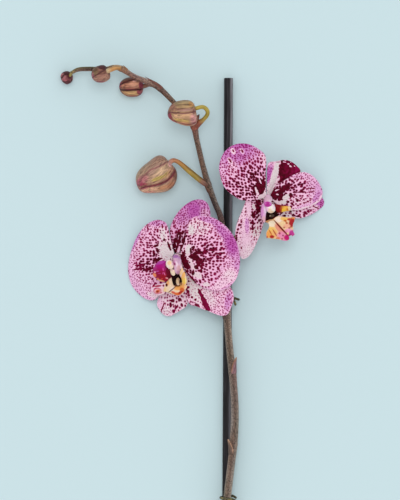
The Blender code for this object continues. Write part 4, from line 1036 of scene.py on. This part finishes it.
        (-13, -42, 6, 8, 0, (0.06, 0.5, 0.14)), (-21.6, -24, 1.5, 9, -16, (0.5, 0.05, 0.3)),
        (-10.2, -6, 1.3, 2.4, 10, (0.0, 0, 0)), (-8.4, -24, 3, 4.5, -10, (0.25, 0.3, 0.0)),
        (-7, -2.4, 2, 2.0, 20, (1, 0, 0)), (-7, -7, 1.4, 3.6, 0, (1, 0, 0)),
        (-10.4, -12.2, 1.6, 2.0, 0, (1, 0.05, 0)), (-11, -17.4, 1.0, 1.5, 0, (1, 0.05, 0)),
        (-11, -22, 1.1, 1.2, 0, (0.9, 0.05, 0)), (-6.4, -17, 0.7, 4, 4, (0.6, 0.0, 0.1)),
        (-19.3, -36.6, 0.6, 0.8, 30, (1, 0.2, 0.1)),
    ),
}

# Tepal skin: a waxy pale pink ground with maroon spots, softened at their edges, and fine radial veins. It is
# matt enough to keep the spots deep, and its back is plainer and paler.
tepal_finish, tree, shader = new_finish("spotted tepal", Roughness=0.55, Specular_IOR_Level=0.06)
cell = stored(tree, "cell")
reach, tone, wash = add_node(tree, "SeparateXYZ", {0: stored(tree, "bloom")}).outputs
# Each cell of the pattern holds one spot, pushed out of place and shape by up to a seventh of a cell. Where
# the tone turns to mauve, the spots come from cells two thirds as wide.
warp = noise(tree, cell, 1.4, 2.0, output="Color")
warped = add_node(tree, "MixRGB", {"Fac": 0.14, "Color1": cell, "Color2": warp}, blend_type="LINEAR_LIGHT")
fineness = ranged(tree, tone, 0.2, 0.5)
insides = []
for scale, coarse in ((1.0, 1.0), (1.5, 0.0)):
    settings = {"Vector": warped.outputs[0], "Scale": scale, "Randomness": 0.78}
    cells = add_node(tree, "TexVoronoi", settings, voronoi_dimensions="2D")
    jitter = add_node(tree, "SeparateColor", {0: cells.outputs["Color"]})
    share = maths(tree, "ABSOLUTE", maths(tree, "SUBTRACT", fineness, coarse))
    limit = maths(tree, "MULTIPLY", reach, ranged(tree, jitter.outputs[0], first=0.72, last=1.2))
    limit = maths(tree, "MULTIPLY", limit, maths(tree, "POWER", share, 0.5))
    insides.append(maths(tree, "SUBTRACT", limit, cells.outputs["Distance"]))
inside = maths(tree, "MAXIMUM", *insides)
spot = ranged(tree, inside, -0.03, 0.05)
# The ground is flushed in a ring round each spot, and most where the spots are dark.
flush = ranged(tree, tone, 0.1, 0.5, 0.8, 0.25)
halo = ranged(tree, inside, -0.17, 0.0, 0.0, flush)
toned = maths(tree, "ADD", tone, ranged(tree, jitter.outputs[1], first=-0.08, last=0.12))
spot_colour = colour_steps(
    tree, toned, [(0.0, "#4A0013"), (0.12, "#6A0026"), (0.35, "#8C0846"), (0.7, "#922470"), (1.0, "#9A3A92")]
)
ground = colour_steps(
    tree, wash, [(0.0, "#E6DBDC"), (0.2, "#F4D5E3"), (0.4, "#FAC8E5"), (0.65, "#DFA0D4"), (1.0, "#C363B4")]
)
lines = noise(tree, stored(tree, "ray"), 2.2, 3.0)
veined = mixed(tree, ranged(tree, lines, 0.45, 0.75, 0.0, 0.3), ground, linear("#B4468E"))
haloed = mixed(tree, halo, veined, linear("#CE4690"))
spotted = mixed(tree, spot, haloed, spot_colour)
paler = mixed(tree, 0.55, spotted, linear("#F0D0E0"))
coloured(tree, shader, mixed(tree, stored(tree, "upper", "Fac"), paler, spotted))
roughened(tree, shader, lines, 0.35, 0.0003)

for name, (outline, layer, lean, curl, fold) in TEPALS.items():
    centre, out = FLOWERS[name[:8]]
    place = tepal_plan(outline, out[:2] * layer)
    rows, columns = place.shape[:2]
    t = np.linspace(0, 1, rows)[:, None]
    u = np.linspace(0, 1, columns)[None, :]
    distance = np.hypot(place[..., 0], place[..., 1])
    middle = 1 - np.abs(2 * u - 1)
    rise = layer + lean * distance - curl * (distance / CURL_REACH) ** 2 + fold * middle * t
    # Relief: a groove down the middle, a low swell on each side of it, and a margin that waves.
    seed = list(TEPALS).index(name)
    rise = rise - 0.35 * np.exp(-(((u - 0.5) * 14) ** 2)) * np.clip(3 * (1 - t), 0, 1)
    rise = rise + 0.35 * np.sin(distance / 5.5 + 3 * u + seed) * np.sin(np.pi * u) * t
    edge = np.maximum(np.abs(2 * u - 1) ** 6, t**8)
    rim_turn = np.arctan2(place[..., 1], place[..., 0])
    rise = rise + 0.5 * edge * t * np.sin(11 * rim_turn + seed * 1.7)
    points = np.dstack([place, -(out[0] * place[..., 0] + out[1] * place[..., 1]) / out[2] + rise]) + centre
    thickness = 0.35 + 0.55 * np.clip(1 - edge, 0, 1) * (1 - 0.5 * t)
    # The pattern's coordinates, in cells: a place's own direction, and its distance to the power 0.8, so that
    # a cell is 1.9 mm wide and 2.4 mm long at 20 mm out. The rays are its bearing and its distance.
    heading = place[-1, columns // 2]
    bearing = np.arctan2(place @ np.array([-heading[1], heading[0]]), place @ heading)
    cell_place = place * ((distance / 20) ** -0.2 / CELL_WIDTH)[..., None] + 50 + 37 * seed
    rays = np.dstack([bearing * 11 + 9 * seed, distance / 9, 0 * distance])
    marks = np.array(MARKS[name])
    ground = np.dstack([np.interp(distance, marks[:, 0], column) for column in marks.T[1:]])
    cover, tone, wash = np.moveaxis(patched(place, ground, PATCHES[name]), -1, 0)
    spot_reach = np.sqrt(cover / np.pi) + 1.2 * np.clip(cover - 0.6, 0, 1) ** 2 * 5
    place_sheet(name, points, thickness, tepal_finish, {
        "cell": np.dstack([cell_place, 0 * tone]), "ray": rays, "bloom": np.dstack([spot_reach, tone, wash])
    })

# ---------------------------------------------------------------- lips
# The third petal of each flower: fleshy lobes round a dark throat. The side lobes stand up beside the column,
# the middle lobe points outwards, and a waxy callus sits in the throat.


def over_flower(flower, places):
    """Points of the drawing for x, y from a flower's centre and a rise above the flower's plane there."""
    centre, out = FLOWERS[flower]
    x, y, rise = np.moveaxis(np.asarray(places, float), -1, 0)[:3]
    return np.stack([x, y, rise - (out[0] * x + out[1] * y) / out[2]], axis=-1) + centre


# Lip flesh: glossy, thick and brightly coloured, with a fine grain of cells 0.4 mm across.
lip_finish, tree, shader = new_finish("fleshy lip", Roughness=0.38)
tint = stored(tree, "tint", "Color")
bright = add_node(tree, "RGBToBW", {0: tint})
gloss = ranged(tree, bright.outputs[0], high=0.5, first=0.04, last=0.4)
tree.links.new(gloss, shader.inputs["Specular IOR Level"])
place = add_node(tree, "TexCoord").outputs["Object"]
coloured(tree, shader, shaded(tree, tint, noise(tree, place, 2500.0, 3.0), 0.3, 0.7, 0.82, 1.12))
roughened(tree, shader, noise(tree, place, 600.0, 2.0), 0.4, 0.0003)

# Each lobe: its left and right edges, its foot and tip between them, how far its middle bulges, its
# thickness, its main colour and the ovals of colour on it. Places are x, y and rise over the flower's plane.
LOBES = {
    # The throat's near-black ground is partly its own dark maroon and partly the hollow's shade painted in.
    "flower_a_lip_throat": (
        ((-3.2, -21.6, 4.9), (-5.4, -17, 5.0), (-4.6, -13, 5.6)),
        ((3, -22, 4.9), (5.0, -17.5, 5.0), (2.6, -13, 5.6)), ((0, -23, 4.8),), ((-1, -12.4, 6.0),), -1.0,
        0.8, "#1C0809",
        (
            (-5, -15, 1.2, 2, 0, "#4A0A18"), (3.5, -20.6, 2, 1.6, 0, "#C89060"),
            (-0.6, -22, 2.2, 1.2, 0, "#6A3420"), (-4.4, -20, 0.8, 2, 20, "#B89070"),
        ),
    ),
    "flower_a_lip_middle_lobe": (
        ((-4.6, -15.2, 5.4), (-7.4, -18, 5.6), (-9.4, -21.5, 6.2), (-10.4, -25.6, 6.6)),
        ((4.4, -19.4, 5.8), (6.6, -20.6, 7.2), (7.0, -22.6, 7.6), (4.6, -26.6, 7.4)),
        ((-2.8, -21.2, 5.6), (1.4, -22.0, 5.6)), ((-6.6, -26.6, 6.8), (-2.6, -28.0, 7.2), (0.8, -28.6, 7.4)),
        1.0, 0.9, "#EFCFAE",
        (
            (-8, -19, 2, 2.6, 30, "#F0B070"), (-8.6, -17.6, 1.6, 0.9, 30, "#C84A20"),
            (-7.9, -21, 0.9, 1.2, 0, "#5A0A18"), (-9.4, -24.6, 1.4, 2, 0, "#F0C890"),
            (1.5, -23, 4.5, 1.8, 8, "#F0A658"), (3.6, -24.6, 1.8, 1.6, 0, "#D0602C"),
            (-2.6, -26.6, 2.2, 0.9, -25, "#D8604A"), (0.4, -27.6, 2.4, 1.2, -5, "#E06A30"),
            (2.4, -26.4, 1.8, 0.9, 25, "#B02818"), (-4, -24, 2.4, 1.2, 35, "#F3D8C8"),
            (-3.9, -24.4, 3.9, 0.38, 37, "#5C2016"), (6.2, -21.4, 0.9, 1.4, 0, "#F2C090"),
        ),
    ),
    "flower_a_lip_left_wing": (
        ((-8.6, -19.2, 4.6), (-12.4, -20.2, 4.6), (-16.6, -20.8, 4.8), (-19.2, -22.4, 5.0)),
        ((-9.6, -27.2, 4.6), (-12.6, -28.4, 4.6), (-15.4, -28.2, 4.8), (-18.2, -26.6, 5.0)),
        ((-8.2, -23.2, 4.8),), ((-19.6, -24.6, 5.2),), 0.8, 0.8, "#F2E4E6",
        (
            (-14, -24, 8, 6, 0, "#F0C8DC"), (-18.0, -21.9, 1.5, 0.8, 20, "#A81444"),
            (-14.5, -21.8, 2.8, 0.7, 6, "#A81444"), (-12, -25, 3, 2, 0, "#F0C4C8"),
            (-14.9, -25.3, 2.9, 2.3, 0, "#C23A60"), (-14.9, -25.4, 2.3, 1.6, 0, "#EFB4C0"),
            (-14.6, -25.6, 1.7, 1.2, 20, "#D0603C"), (-14.8, -25.9, 0.8, 0.6, 0, "#8E2426"),
            (-16.6, -23.6, 1.2, 0.4, 30, "#B82458"), (-12.2, -26.8, 1.0, 0.4, 40, "#C8486A"),
            (-10.4, -21.4, 0.7, 0.9, 0, "#7A0A28"), (-11, -28, 2, 0.7, -20, "#E2C4C8"),
        ),
    ),
    "flower_a_lip_left_lobe": (
        ((-15.0, -16.9, 6.0), (-18.2, -13.5, 7.0), (-18.1, -8.6, 8.0)),
        ((-5.0, -15.4, 6.4), (-5.2, -10.8, 8.0), (-8.5, -6.6, 9.2), (-8.6, -2.9, 9.4)),
        ((-10.4, -18.9, 5.6),), ((-15.0, -4.2, 8.8), (-11.8, -2.8, 9.2)), 2.4, 0.8, "#A61580",
        (
            (-13, -4.2, 4, 1.4, 20, "#B43C9E"), (-13.4, -8.4, 3.6, 2.6, 0, "#B20878"),
            (-16.4, -9.5, 1.6, 3, 0, "#B22A80"), (-11, -13.5, 7.5, 4.4, -10, "#94103A"),
            (-9.4, -15.5, 4.2, 2.6, -20, "#9A1226"), (-6.5, -11.5, 1.9, 3.6, 25, "#650822"),
            (-6.6, -14.6, 1.8, 1.4, 0, "#5E0818"), (-17.2, -13.6, 1.6, 1.6, 0, "#EE8350"),
            (-15, -16.4, 1.4, 0.9, 30, "#DC6A3C"), (-8.8, -7.6, 0.7, 1.2, 0, "#7A0C4A"),
            (-10.6, -9.2, 0.4, 1.1, 10, "#D24A9A"), (-9.6, -12.4, 0.35, 1.2, 24, "#DE6CA4"),
            (-10.8, -12.0, 0.3, 0.9, -10, "#C83A86"), (-7.9, -15.6, 1.1, 0.5, -20, "#EE94A0"),
            (-14.8, -10.6, 1.3, 0.3, 8, "#C44AA6"), (-13.4, -12.2, 1.2, 0.3, 4, "#B8307E"),
            (-16.6, -11.2, 0.7, 0.6, 0, "#F0A0B8"), (-12.2, -17.5, 2.8, 0.55, -16, "#EDAE78"),
            (-11.6, -16.2, 0.9, 0.4, 20, "#C83C30"),
        ),
    ),
    "flower_a_lip_right_lobe": (
        ((3.0, -21.8, 6.2), (3.4, -17, 7.4), (1.2, -12, 8.4), (0.2, -6.5, 8.4), (0.4, -4.0, 7.6)),
        ((5.4, -22.2, 7.4), (7.0, -18.6, 8.6), (6.2, -13.4, 9.4), (4.0, -8.6, 9.4), (2.8, -4.4, 8.0)),
        ((4.3, -22.4, 6.8),), ((1.6, -3.4, 8.2),), 0.5, 0.9, "#E9C9D2",
        (
            (1.2, -6, 1.2, 3, 0, "#E7C0DC"), (1.4, -9.8, 1.0, 3.6, 0, "#D9A6B8"),
            (2.4, -11, 0.9, 2.2, -10, "#8A6A6E"), (3.4, -10.4, 0.9, 3.4, -20, "#F4C994"),
            (4.6, -14, 1.3, 3.6, -16, "#F2B463"), (5.4, -18, 1.7, 2.6, 0, "#F2C350"),
            # The pale strip at 6.5, -16.6 along the lobe's outer edge is a painted highlight.
            (4.2, -20.8, 1.6, 1.4, 0, "#E9A75C"), (6.5, -16.6, 0.5, 3, 0, "#F7DFA0"),
            (3.2, -19, 0.6, 2, 0, "#5A2A12"),
        ),
    ),
    # The throat's near-black ground is partly its own dark maroon and partly the hollow's shade painted in.
    "flower_b_lip_throat": (
        ((-1.8, -17.6, 4.9), (-2.4, -13.6, 5.4), (-0.4, -10.0, 6.2)),
        ((6.6, -17.2, 5.2), (8.2, -13, 5.6), (7.4, -9.4, 6.2)), ((2.4, -17.8, 4.6),), ((3.4, -8.6, 6.4),),
        -1.0, 0.8, "#230A08",
        (
            (3, -12.6, 1.3, 0.9, 0, "#6A5A46"), (6, -15, 2, 1.6, 0, "#6A140E"),
            (-1.6, -16, 1.2, 1.8, 0, "#3E0A10"),
        ),
    ),
    "flower_b_lip_left_lobe": (
        ((-2.9, -17.6, 6.0), (-4.6, -12, 7.4), (-4.6, -6.5, 8.4), (-3.6, -3.6, 7.8)),
        ((-1.6, -17.0, 6.2), (-1.2, -12.4, 8.6), (-0.6, -8.4, 9.6), (-0.6, -5.0, 8.4)),
        ((-2.2, -17.7, 6.1),), ((-2.0, -3.6, 8.4),), 0.5, 0.9, "#E6B6DC",
        (
            (-3.8, -9, 1.0, 5, 0, "#D58CC6"), (-1.4, -7.6, 1.1, 3, 0, "#EBCFE6"),
            (-2.6, -15, 1.1, 2.4, 0, "#E7AEBE"), (-4.6, -6, 0.5, 2, 0, "#B0508E"),
        ),
    ),
    "flower_b_lip_right_lobe": (
        ((6.2, -10.8, 6.6), (6.0, -7.4, 7.6), (5.6, -3.8, 7.4)),
        ((17.0, -8.8, 8.4), (17.8, -7.0, 9.0), (16.6, -5.4, 8.6)), ((9.2, -10.4, 7.4), (13, -9.4, 8.0)),
        ((9.6, -4.6, 8.4), (13.2, -5.0, 8.8)), 1.2, 0.8, "#7E0A12",
        (
            (6.4, -10.2, 1.6, 1.2, 0, "#3A0808"), (14.2, -7.6, 3.5, 2.7, 0, "#F2B040"),
            (12.2, -8.6, 1.6, 1.4, 0, "#F4C020"), (16.6, -7, 1.4, 1.6, 0, "#F6D2A0"),
            (14.9, -7.8, 0.7, 1.0, 20, "#D87A20"), (12.6, -5.2, 3.4, 0.4, -4, "#8E1C2A"),
            (10.3, -8, 0.5, 2.2, 0, "#B03A18"),
        ),
    ),
    "flower_b_lip_right_wing": (
        ((4.4, -15.2, 6.0), (8.8, -19.4, 8.0), (13.0, -24.0, 9.2), (16.2, -27.9, 9.8)),
        ((8.2, -12.8, 7.0), (14.4, -13.8, 8.4), (20.6, -14.0, 9.0), (19.2, -19.0, 9.6), (19.6, -23.4, 9.8)),
        ((6.2, -13.8, 6.6),), ((20.6, -26.2, 10.0), (18.6, -28.0, 10.0)), 0.8, 0.9, "#F3C79A",
        (
            (8.4, -15.4, 2.6, 2.2, 0, "#F6DECC"), (12.6, -15, 3, 1.2, 0, "#F4C062"),
            (13.2, -16.6, 1.2, 1.0, 0, "#C8601E"), (14.2, -18.2, 1.1, 0.8, 0, "#B8481C"),
            (11.6, -18.4, 2.2, 1.8, 0, "#F2CC98"), (18.2, -17.6, 2.0, 4.0, -14, "#AE2228"),
            (16.4, -15.4, 1.6, 0.9, 0, "#C0392A"), (19.4, -14.4, 1.2, 0.7, 0, "#E08A3C"),
            (14.6, -20.2, 2.6, 1.4, 0, "#F3AE90"), (12.6, -21.4, 0.8, 0.6, 0, "#BC6A50"),
            (16.4, -21.8, 0.8, 0.6, 0, "#B05850"), (15.8, -23.6, 2.6, 1.4, 0, "#F29CC2"),
            (14.0, -24.4, 1.2, 1.2, 0, "#EE8AA8"), (18.6, -25.6, 2.4, 2.2, 0, "#C43A92"),
            (16.8, -27, 1.2, 1.0, 0, "#B02878"), (20.4, -25.6, 0.6, 2, 20, "#E08ABC"),
        ),
    ),
    "flower_b_lip_left_wing": (
        ((-1.9, -17.0, 5.6), (1.0, -18.6, 7.2), (1.2, -21.6, 8.2), (-0.6, -25.2, 9.0), (-0.5, -29.2, 9.4)),
        ((4.4, -15.2, 6.0), (8.8, -19.4, 8.0), (13.0, -24.0, 9.2), (16.2, -27.9, 9.8)), ((1.6, -15.6, 6.0),),
        ((3.4, -29.7, 9.8), (8.2, -30.2, 10.0), (13.4, -31.4, 10.2), (16.2, -30.4, 10.2)), 0.8, 0.9,
        "#F1C88E",
        (
            (1.0, -16.8, 3, 1.0, 20, "#C88A5A"), (3.4, -18.8, 2.8, 2.4, 0, "#F3DEC2"),
            (2.6, -23.4, 3.2, 2.4, 0, "#F2C060"), (1.2, -26.6, 2.4, 2.6, 0, "#F0A04C"),
            (5.2, -25.8, 2.2, 3, 20, "#F2B46A"), (2.2, -25, 0.4, 2.4, 30, "#C2622A"),
            (5.6, -25.6, 0.45, 3.2, 32, "#B8502A"), (3.4, -28.3, 1.7, 1.2, 0, "#B02020"),
            (-0.4, -28.6, 0.7, 1, 0, "#C84A28"), (9.2, -22.8, 2.0, 5.0, 42, "#E89078"),
            (10.8, -27.2, 3.4, 2.8, 0, "#EE8CB2"), (8, -29.4, 1.6, 0.9, 0, "#E07A60"),
            (9.0, -25.8, 0.8, 0.8, 0, "#B04458"), (11.6, -27.4, 0.6, 0.6, 0, "#8A3050"),
            (11, -29.8, 0.8, 0.6, 0, "#B03A6C"), (14.8, -28.9, 2.5, 2.2, 10, "#C8106E"),
            (12.8, -31.2, 2.2, 0.7, -10, "#E27AB4"), (10.5, -21.9, 0.95, 8.6, 43, "#7C1A18"),
        ),
    ),
}
LOBE_ROWS = 56

for name, (left, right, foot, tip, bulge, thickness, ground, patches) in LOBES.items():
    edges = left, right, (left[0], *foot, right[0]), (left[-1], *tip, right[-1])
    place = coons(*(smooth(edge, LOBE_ROWS) for edge in edges))
    rounded = np.sin(np.pi * np.linspace(0, 1, LOBE_ROWS))
    place[..., 2] += bulge * rounded[:, None] * rounded[None, :]
    middle = over_flower(name[:8], place)
    tint = painted(place, ground, patches)
    inner = 1 - np.abs(np.linspace(-1, 1, LOBE_ROWS)) ** 8
    edge = 1 - inner[:, None] * inner[None, :]
    thin = thickness * (1 - 0.6 * edge)
    place_sheet(name, middle, thin, lip_finish, {"tint": tint}, f"{name[:8]}_lip")

# Small fleshy parts shaped like pebbles. Each is the part that it belongs to, its x, y and rise, its half
# length, half width and half height, its turn in plan, its main colour and the ovals of colour on it.
PEBBLES = {
    "flower_a_lip_callus": (
        "lip", (0.5, -18.4, 6.2), (3.0, 1.6, 1.5), 92, "#C6A07A",
        (
            (0.9, -17.2, 1.2, 1.2, 0, "#A98868"), (-0.3, -18.4, 0.9, 1.8, 0, "#D8B48C"),
            (0.4, -20.6, 1.6, 0.8, 0, "#D9BFA6"), (1.7, -18.6, 0.5, 1.6, 0, "#5A3A28"),
        ),
    ),
    "flower_b_lip_callus": (
        # The grey dot at 2.0, -12.6 on this dark callus is a painted highlight.
        "lip", (3.4, -12.6, 6.4), (1.9, 1.2, 1.0), 10, "#3E2612", ((2.0, -12.6, 0.7, 0.7, 0, "#8A7A68"),),
    ),
    "flower_a_rostellum": (
        "column", (-3.4, -10.8, 8.7), (3.3, 1.95, 1.5), 104, "#F3D9BC",
        (
            (-3.9, -9.9, 1, 0.9, 0, "#ECC6C2"), (-1.4, -10.4, 0.5, 2.4, 0, "#4E2028"),
            (-2.8, -8.9, 1.6, 0.5, -20, "#4E2028"),
        ),
    ),
    "flower_b_column_patch": (
        "column", (0.6, -4.1, 12.1), (2.9, 2.1, 1.3), -8, "#C22CA0",
        (
            (0.4, -4.1, 1.9, 1.6, 0, "#B0078A"), (-1.6, -3.2, 1, 1, 0, "#C044A6"),
            (2.6, -3.4, 1, 1.2, 0, "#D070B8"),
        ),
    ),
    "flower_a_anther_cap": (
        "anther_cap", (-5.7, -5.7, 11.4), (3.6, 2.8, 2.2), -64, "#F6DFC8",
        (
            (-7.4, -3.8, 1.5, 1.6, 0, "#F8E6DA"), (-6.0, -4.4, 1.6, 1.4, 0, "#F3CE9C"),
            (-5.2, -7.6, 1.8, 1.4, 0, "#F5D8C4"), (-3.4, -4.4, 1.0, 2.0, 0, "#E3B4C6"),
            (-7.2, -7.2, 0.8, 1.2, 30, "#F9E8DC"),
        ),
    ),
    "flower_b_anther_cap": (
        "anther_cap", (2.6, -7.1, 10.6), (3.7, 3.5, 2.4), -60, "#F8ECE4",
        (
            (1.4, -8.8, 2.0, 1.5, 0, "#EFCFB4"), (5.2, -5.8, 1.4, 1.9, 20, "#F5DCE8"),
            (3.4, -9.8, 1.6, 0.8, 10, "#E8C8A8"), (0.0, -7.6, 0.9, 1.8, 0, "#EBC0D8"),
        ),
    ),
}

# Waxy caps and callus: smoother and glossier than the lobes, under a thin clear coat.
wax_finish, tree, shader = new_finish(
    "waxy anther cap", Roughness=0.3, Specular_IOR_Level=0.4, Coat_Weight=0.2
)
place = add_node(tree, "TexCoord").outputs["Object"]
soft = noise(tree, place, 900.0, 2.0)
coloured(tree, shader, shaded(tree, stored(tree, "tint", "Color"), soft, 0.3, 0.7, 0.9, 1.06))
roughened(tree, shader, soft, 0.2, 0.0002)

for name, (part, centre, (long, wide, high), turned, ground, patches) in PEBBLES.items():
    polar = np.linspace(0.02, np.pi - 0.02, 40)[:, None]
    turn = np.linspace(0, 2 * np.pi, 48, endpoint=False)[None, :]
    along = long * np.cos(polar) + 0 * turn
    across = wide * np.sin(polar) * np.cos(turn)
    lifted = high * np.sin(polar) * np.sin(turn)
    cos, sin = np.cos(np.radians(turned)), np.sin(np.radians(turned))
    place = np.dstack([along * cos - across * sin, along * sin + across * cos, lifted]) + np.array(centre)
    points = over_flower(name[:8], place)
    values = {"tint": painted(place, ground, patches)}
    place_tube(name, points, values, wax_finish, f"{name[:8]}_{part}")

# ---------------------------------------------------------------- columns
# The column stands on the receptacle and leans over the lip. Its end carries the anther cap.

FOOT_RISES = np.array([3.1, 4.1])
FOOT_RADIUS = 2.1
# Each is its stations as x, y, rise and radius, then its main colour and the ovals of colour on it.
COLUMNS = {
    "flower_a": (
        (
            (-0.4, -0.4, 5.0, 2.2), (-0.2, -2.2, 7.2, 3.0), (-0.1, -4.6, 8.4, 3.2), (0.0, -7.6, 8.8, 2.9),
            (0.4, -10.6, 8.4, 2.3), (0.7, -12.8, 7.6, 1.6),
        ),
        "#E0B4CC",
        (
            (-1.5, 0.4, 2.4, 1.2, 0, "#B070B4"), (1.6, -1.2, 1.8, 1.6, 0, "#C48EC4"),
            (-2.0, -3.6, 2.0, 1.6, 0, "#D592BC"), (0.8, -3, 1.4, 2, 0, "#CBA0BC"),
            (2.4, -4.5, 1.0, 3, 0, "#E2BCD4"), (-0.4, -6, 0.8, 3.4, 14, "#F0D2E2"),
            (-2.0, -5.2, 0.8, 1.1, 20, "#9A3A6A"), (1.0, -9, 1.6, 3, 0, "#D9A6AC"),
            (0.8, -12.2, 1.4, 2, 0, "#B8849A"),
        ),
    ),
    "flower_b": (
        ((0.6, 1.0, 4.6, 2.2), (0.2, -0.6, 7.0, 2.6), (0.2, -2.6, 8.8, 2.9), (0.8, -5.0, 9.8, 2.5)),
        "#E5BAD2",
        (
            (-1, 0, 3, 1.6, 0, "#DDB4C6"), (-2.4, -3, 1.0, 3, 0, "#D78CC0"),
            (2.6, -1.8, 1.2, 1.6, 0, "#EBCFDC"),
        ),
    ),
}
# Column flesh: pale and smooth, with faint mauve streaks that follow its length.
column_finish, tree, shader = new_finish("column flesh", Roughness=0.38, Specular_IOR_Level=0.3)
streaks = grain_noise(tree, (1.6, 1.6, 0.25), 3.0)
faint = ranged(tree, streaks, 0.5, 0.75, 0.0, 0.45)
coloured(tree, shader, mixed(tree, faint, stored(tree, "tint", "Color"), linear("#B668A8")))

for flower, (stations, ground, patches) in COLUMNS.items():
    centre, out = FLOWERS[flower]
    feet = np.column_stack([centre + out * FOOT_RISES[:, None], [FOOT_RADIUS, FOOT_RADIUS]])
    body = np.column_stack([over_flower(flower, stations), np.array(stations)[:, 3]])
    path = smooth(np.vstack([feet, body]), 60)
    along = lengths_along(path)
    radius = path[:, 3] * np.sqrt(1 - np.clip(1 - (along[-1] - along) / 1.6, 0, 0.96) ** 2)
    points, straight = ring_grid(path[:, :3], radius, 40, facing=(1, 0.2, 0.3))
    tint = painted((points - centre)[..., :2], ground, patches)
    place_tube(f"{flower}_column", points, {"tint": tint, "grain": straight}, column_finish)

# ---------------------------------------------------------------- floor, light and camera
# A plain pale blue surface under the spike, a soft high light from beyond its top, and a camera that looks
# straight down on it.

# The camera's height and the height of its view are in metres. The view's middle is in the drawing.
CAMERA_HEIGHT = 10
VIEW_HEIGHT = 0.375
VIEW_MIDDLE = np.array([-21, 187.5])

bpy.ops.mesh.primitive_plane_add(size=6, location=(0, 0, -0.0002))
floor = bpy.context.object
floor.name = "floor"
floor_finish, tree, shader = new_finish("pale blue sheet", Roughness=0.9)
shader.inputs["Base Color"].default_value = linear("#CBE2E7")
floor.data.materials.append(floor_finish)

scene = bpy.context.scene
scene.view_settings.view_transform = "Standard"
world = bpy.data.worlds.new("studio")
world.use_nodes = True
world.node_tree.nodes["Background"].inputs["Color"].default_value = (1, 1, 1, 1)
world.node_tree.nodes["Background"].inputs["Strength"].default_value = 0.76
scene.world = world

sun = bpy.data.lights.new("high light", "SUN")
sun.energy = 0.76
sun.angle = 0.5
sun_holder = bpy.data.objects.new("high light", sun)
sun_holder.rotation_euler = (-0.2, 0.02, 0)
scene.collection.objects.link(sun_holder)

camera = bpy.data.cameras.new("above")
camera.sensor_fit = "VERTICAL"
camera.sensor_height = 24
camera.lens = camera.sensor_height * CAMERA_HEIGHT / VIEW_HEIGHT
camera.clip_end = 100
camera_holder = bpy.data.objects.new("above", camera)
camera_holder.location = (*((VIEW_MIDDLE + OFFSET[:2]) / 1000), CAMERA_HEIGHT)
scene.collection.objects.link(camera_holder)
scene.camera = camera_holder
